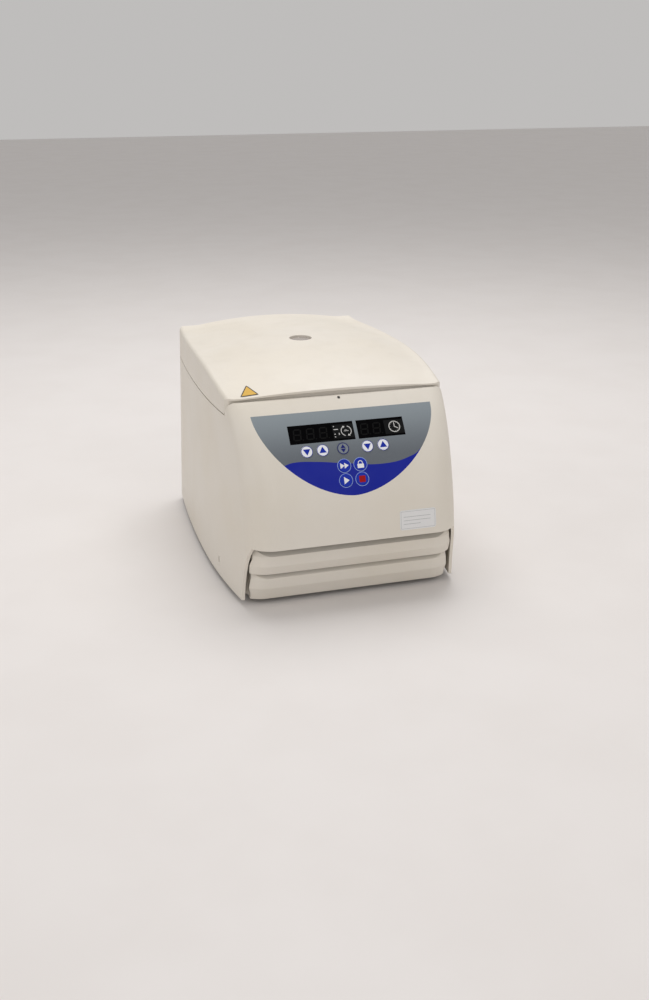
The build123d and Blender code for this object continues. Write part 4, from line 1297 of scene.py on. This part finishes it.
@dataclass
class RearPanel:
    """The back's painted screw-recess shade, wire guard, switch marks and blank rating plate."""

    back_y: float = 175.0 * MM
    screws: tuple[tuple[float, float], ...] = ((-92, 26), (0, 26), (92, 26), (-92, 154), (0, 154), (92, 154))
    guard_middle: tuple[float, float, float] = (0.0, 172.6 * MM, 112 * MM)
    plate: tuple[float, float, float, float] = (-78.0, 30.0, -18.0, 66.0)

    def build(self) -> None:
        """Fit the painted recess shade, the guard and the plate."""
        head_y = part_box("panel_screws")[1][1]
        heads = [Vector((x * MM, head_y - 0.05 * MM, z * MM)) for x, z in self.screws]
        # Dark crosses on the heads: painted shade of the driver recesses
        ScrewRecessShade("panel_screw_recess_shade").build(heads, (math.pi / 2, 0, 0), "root")
        GuardMesh("vent_guard").build(Vector(self.guard_middle), "root")
        face = FlatFace(Vector((0, self.back_y, 0)), LEFTWARD, UPWARD)
        plate = Print("rating_plate", face, LABEL, "root", "label", 0.0, 0.2 * MM)
        plate.plate(rounded(*self.plate, 2.0))
        plate.finish_piece()
        rules = Print("rating_plate_rules", face, INK_RULE, "root", "label", 0.1 * MM, 0.27 * MM)
        left, low, right, high = self.plate
        for row in range(6):
            up = low + 5 + row * 5.2
            rules.stroke((left + 4, up), (right - (4 if row % 2 else 22), up), 0.5)
        rules.finish_piece()
        self.switch_marks()

    def switch_marks(self) -> None:
        """Print the on and off signs on the switch's frame."""
        low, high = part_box("switch_frame")
        middle = Vector(((low[0] + high[0]) / 2, high[1], (low[2] + high[2]) / 2))
        face = FlatFace(middle, LEFTWARD, UPWARD)
        signs = Print("switch_signs", face, INK_WHITE, "root", "black_plastic", high=0.05 * MM)
        signs.stroke((0, 12.9), (0, 15.3), 0.5)
        signs.ring(0, -14.1, 1.25, 0.8, 20)
        signs.finish_piece()


# ---------------------------------------------------------------- studio


@dataclass
class Studio:
    """The pale floor, the soft lights and the camera."""

    eye: tuple[float, float, float] = (-0.3603, -1.2319, 0.5333)
    azimuth: float = 17.10
    pitch: float = 18.83
    roll: float = 0.06
    lens: float = 44.37
    sensor: float = 36.0
    shift_y: float = -0.0415
    floor_half: float = 6.0
    aim: tuple[float, float, float] = (0.0, 0.0, 0.1)
    lamp_colour: tuple[float, float, float] = (1.0, 0.985, 0.97)
    room_colour: Colour = (1.0, 0.98, 0.965, 1.0)
    room_strength: float = 0.52
    lights: tuple[tuple[tuple[float, float, float], float, float], ...] = (
        ((0.15, 0.55, 1.6), 1.3, 17.0),
        ((-1.8, -0.3, 0.9), 1.4, 5.0),
        ((0.3, -1.9, 1.1), 1.6, 8.0),
    )

    def build(self) -> None:
        """Set the whole studio."""
        self.lay_floor()
        self.hang_lights()
        self.place_camera()

    def lay_floor(self) -> None:
        """Lay a wide pale floor with a barely uneven tone."""
        mesh = bpy.data.meshes.new("floor")
        half = self.floor_half
        corners = [(-half, -half, 0), (half, -half, 0), (half, half, 0), (-half, half, 0)]
        mesh.from_pydata(corners, [], [(0, 1, 2, 3)])
        floor = bpy.data.objects.new("floor", mesh)
        bpy.context.scene.collection.objects.link(floor)
        mesh.materials.append(FLOOR.material())

    def hang_lights(self) -> None:
        """Hang large soft lamps, aimed at the middle of the object, and light the room."""
        for number, (place, size, power) in enumerate(self.lights):
            lamp = bpy.data.lights.new(f"soft_lamp_{number}", "AREA")
            lamp.energy = power
            lamp.size = size
            lamp.color = self.lamp_colour
            holder = bpy.data.objects.new(lamp.name, lamp)
            turn = (Vector(self.aim) - Vector(place)).to_track_quat("-Z", "Y").to_matrix().to_4x4()
            holder.matrix_world = Matrix.Translation(place) @ turn
            bpy.context.scene.collection.objects.link(holder)
        world = bpy.data.worlds.new("room")
        world.use_nodes = True
        background = world.node_tree.nodes["Background"]
        background.inputs["Color"].default_value = self.room_colour
        background.inputs["Strength"].default_value = self.room_strength
        bpy.context.scene.world = world
        bpy.context.scene.view_settings.view_transform = "Standard"

    def place_camera(self) -> None:
        """Place the camera a little above and to the left of the front."""
        camera = bpy.data.cameras.new("camera")
        camera.lens, camera.sensor_width, camera.shift_y = self.lens, self.sensor, self.shift_y
        turn, drop = math.radians(self.azimuth), math.radians(self.pitch)
        forward = Vector((math.sin(turn) * math.cos(drop), math.cos(turn) * math.cos(drop), -math.sin(drop)))
        right = Vector((math.cos(turn), -math.sin(turn), 0))
        axes = Matrix((right, right.cross(forward), -forward)).transposed()
        holder = bpy.data.objects.new("camera", camera)
        axes = axes @ Matrix.Rotation(math.radians(self.roll), 3, "Z")
        holder.matrix_world = Matrix.Translation(self.eye) @ axes.to_4x4()
        bpy.context.scene.collection.objects.link(holder)
        bpy.context.scene.camera = holder


def main() -> None:
    """Build the looks in order: CAD finishes, front, marks, chamber, back, studio."""
    logging.basicConfig(level=logging.INFO, format="%(name)s: %(message)s")
    dress_cad()
    for assembly in (ControlPanel(), CasingMarks(), Chamber(), RearPanel(), Studio()):
        assembly.build()
        LOG.info("%s is built", type(assembly).__name__)


if __name__ == "__main__":
    main()
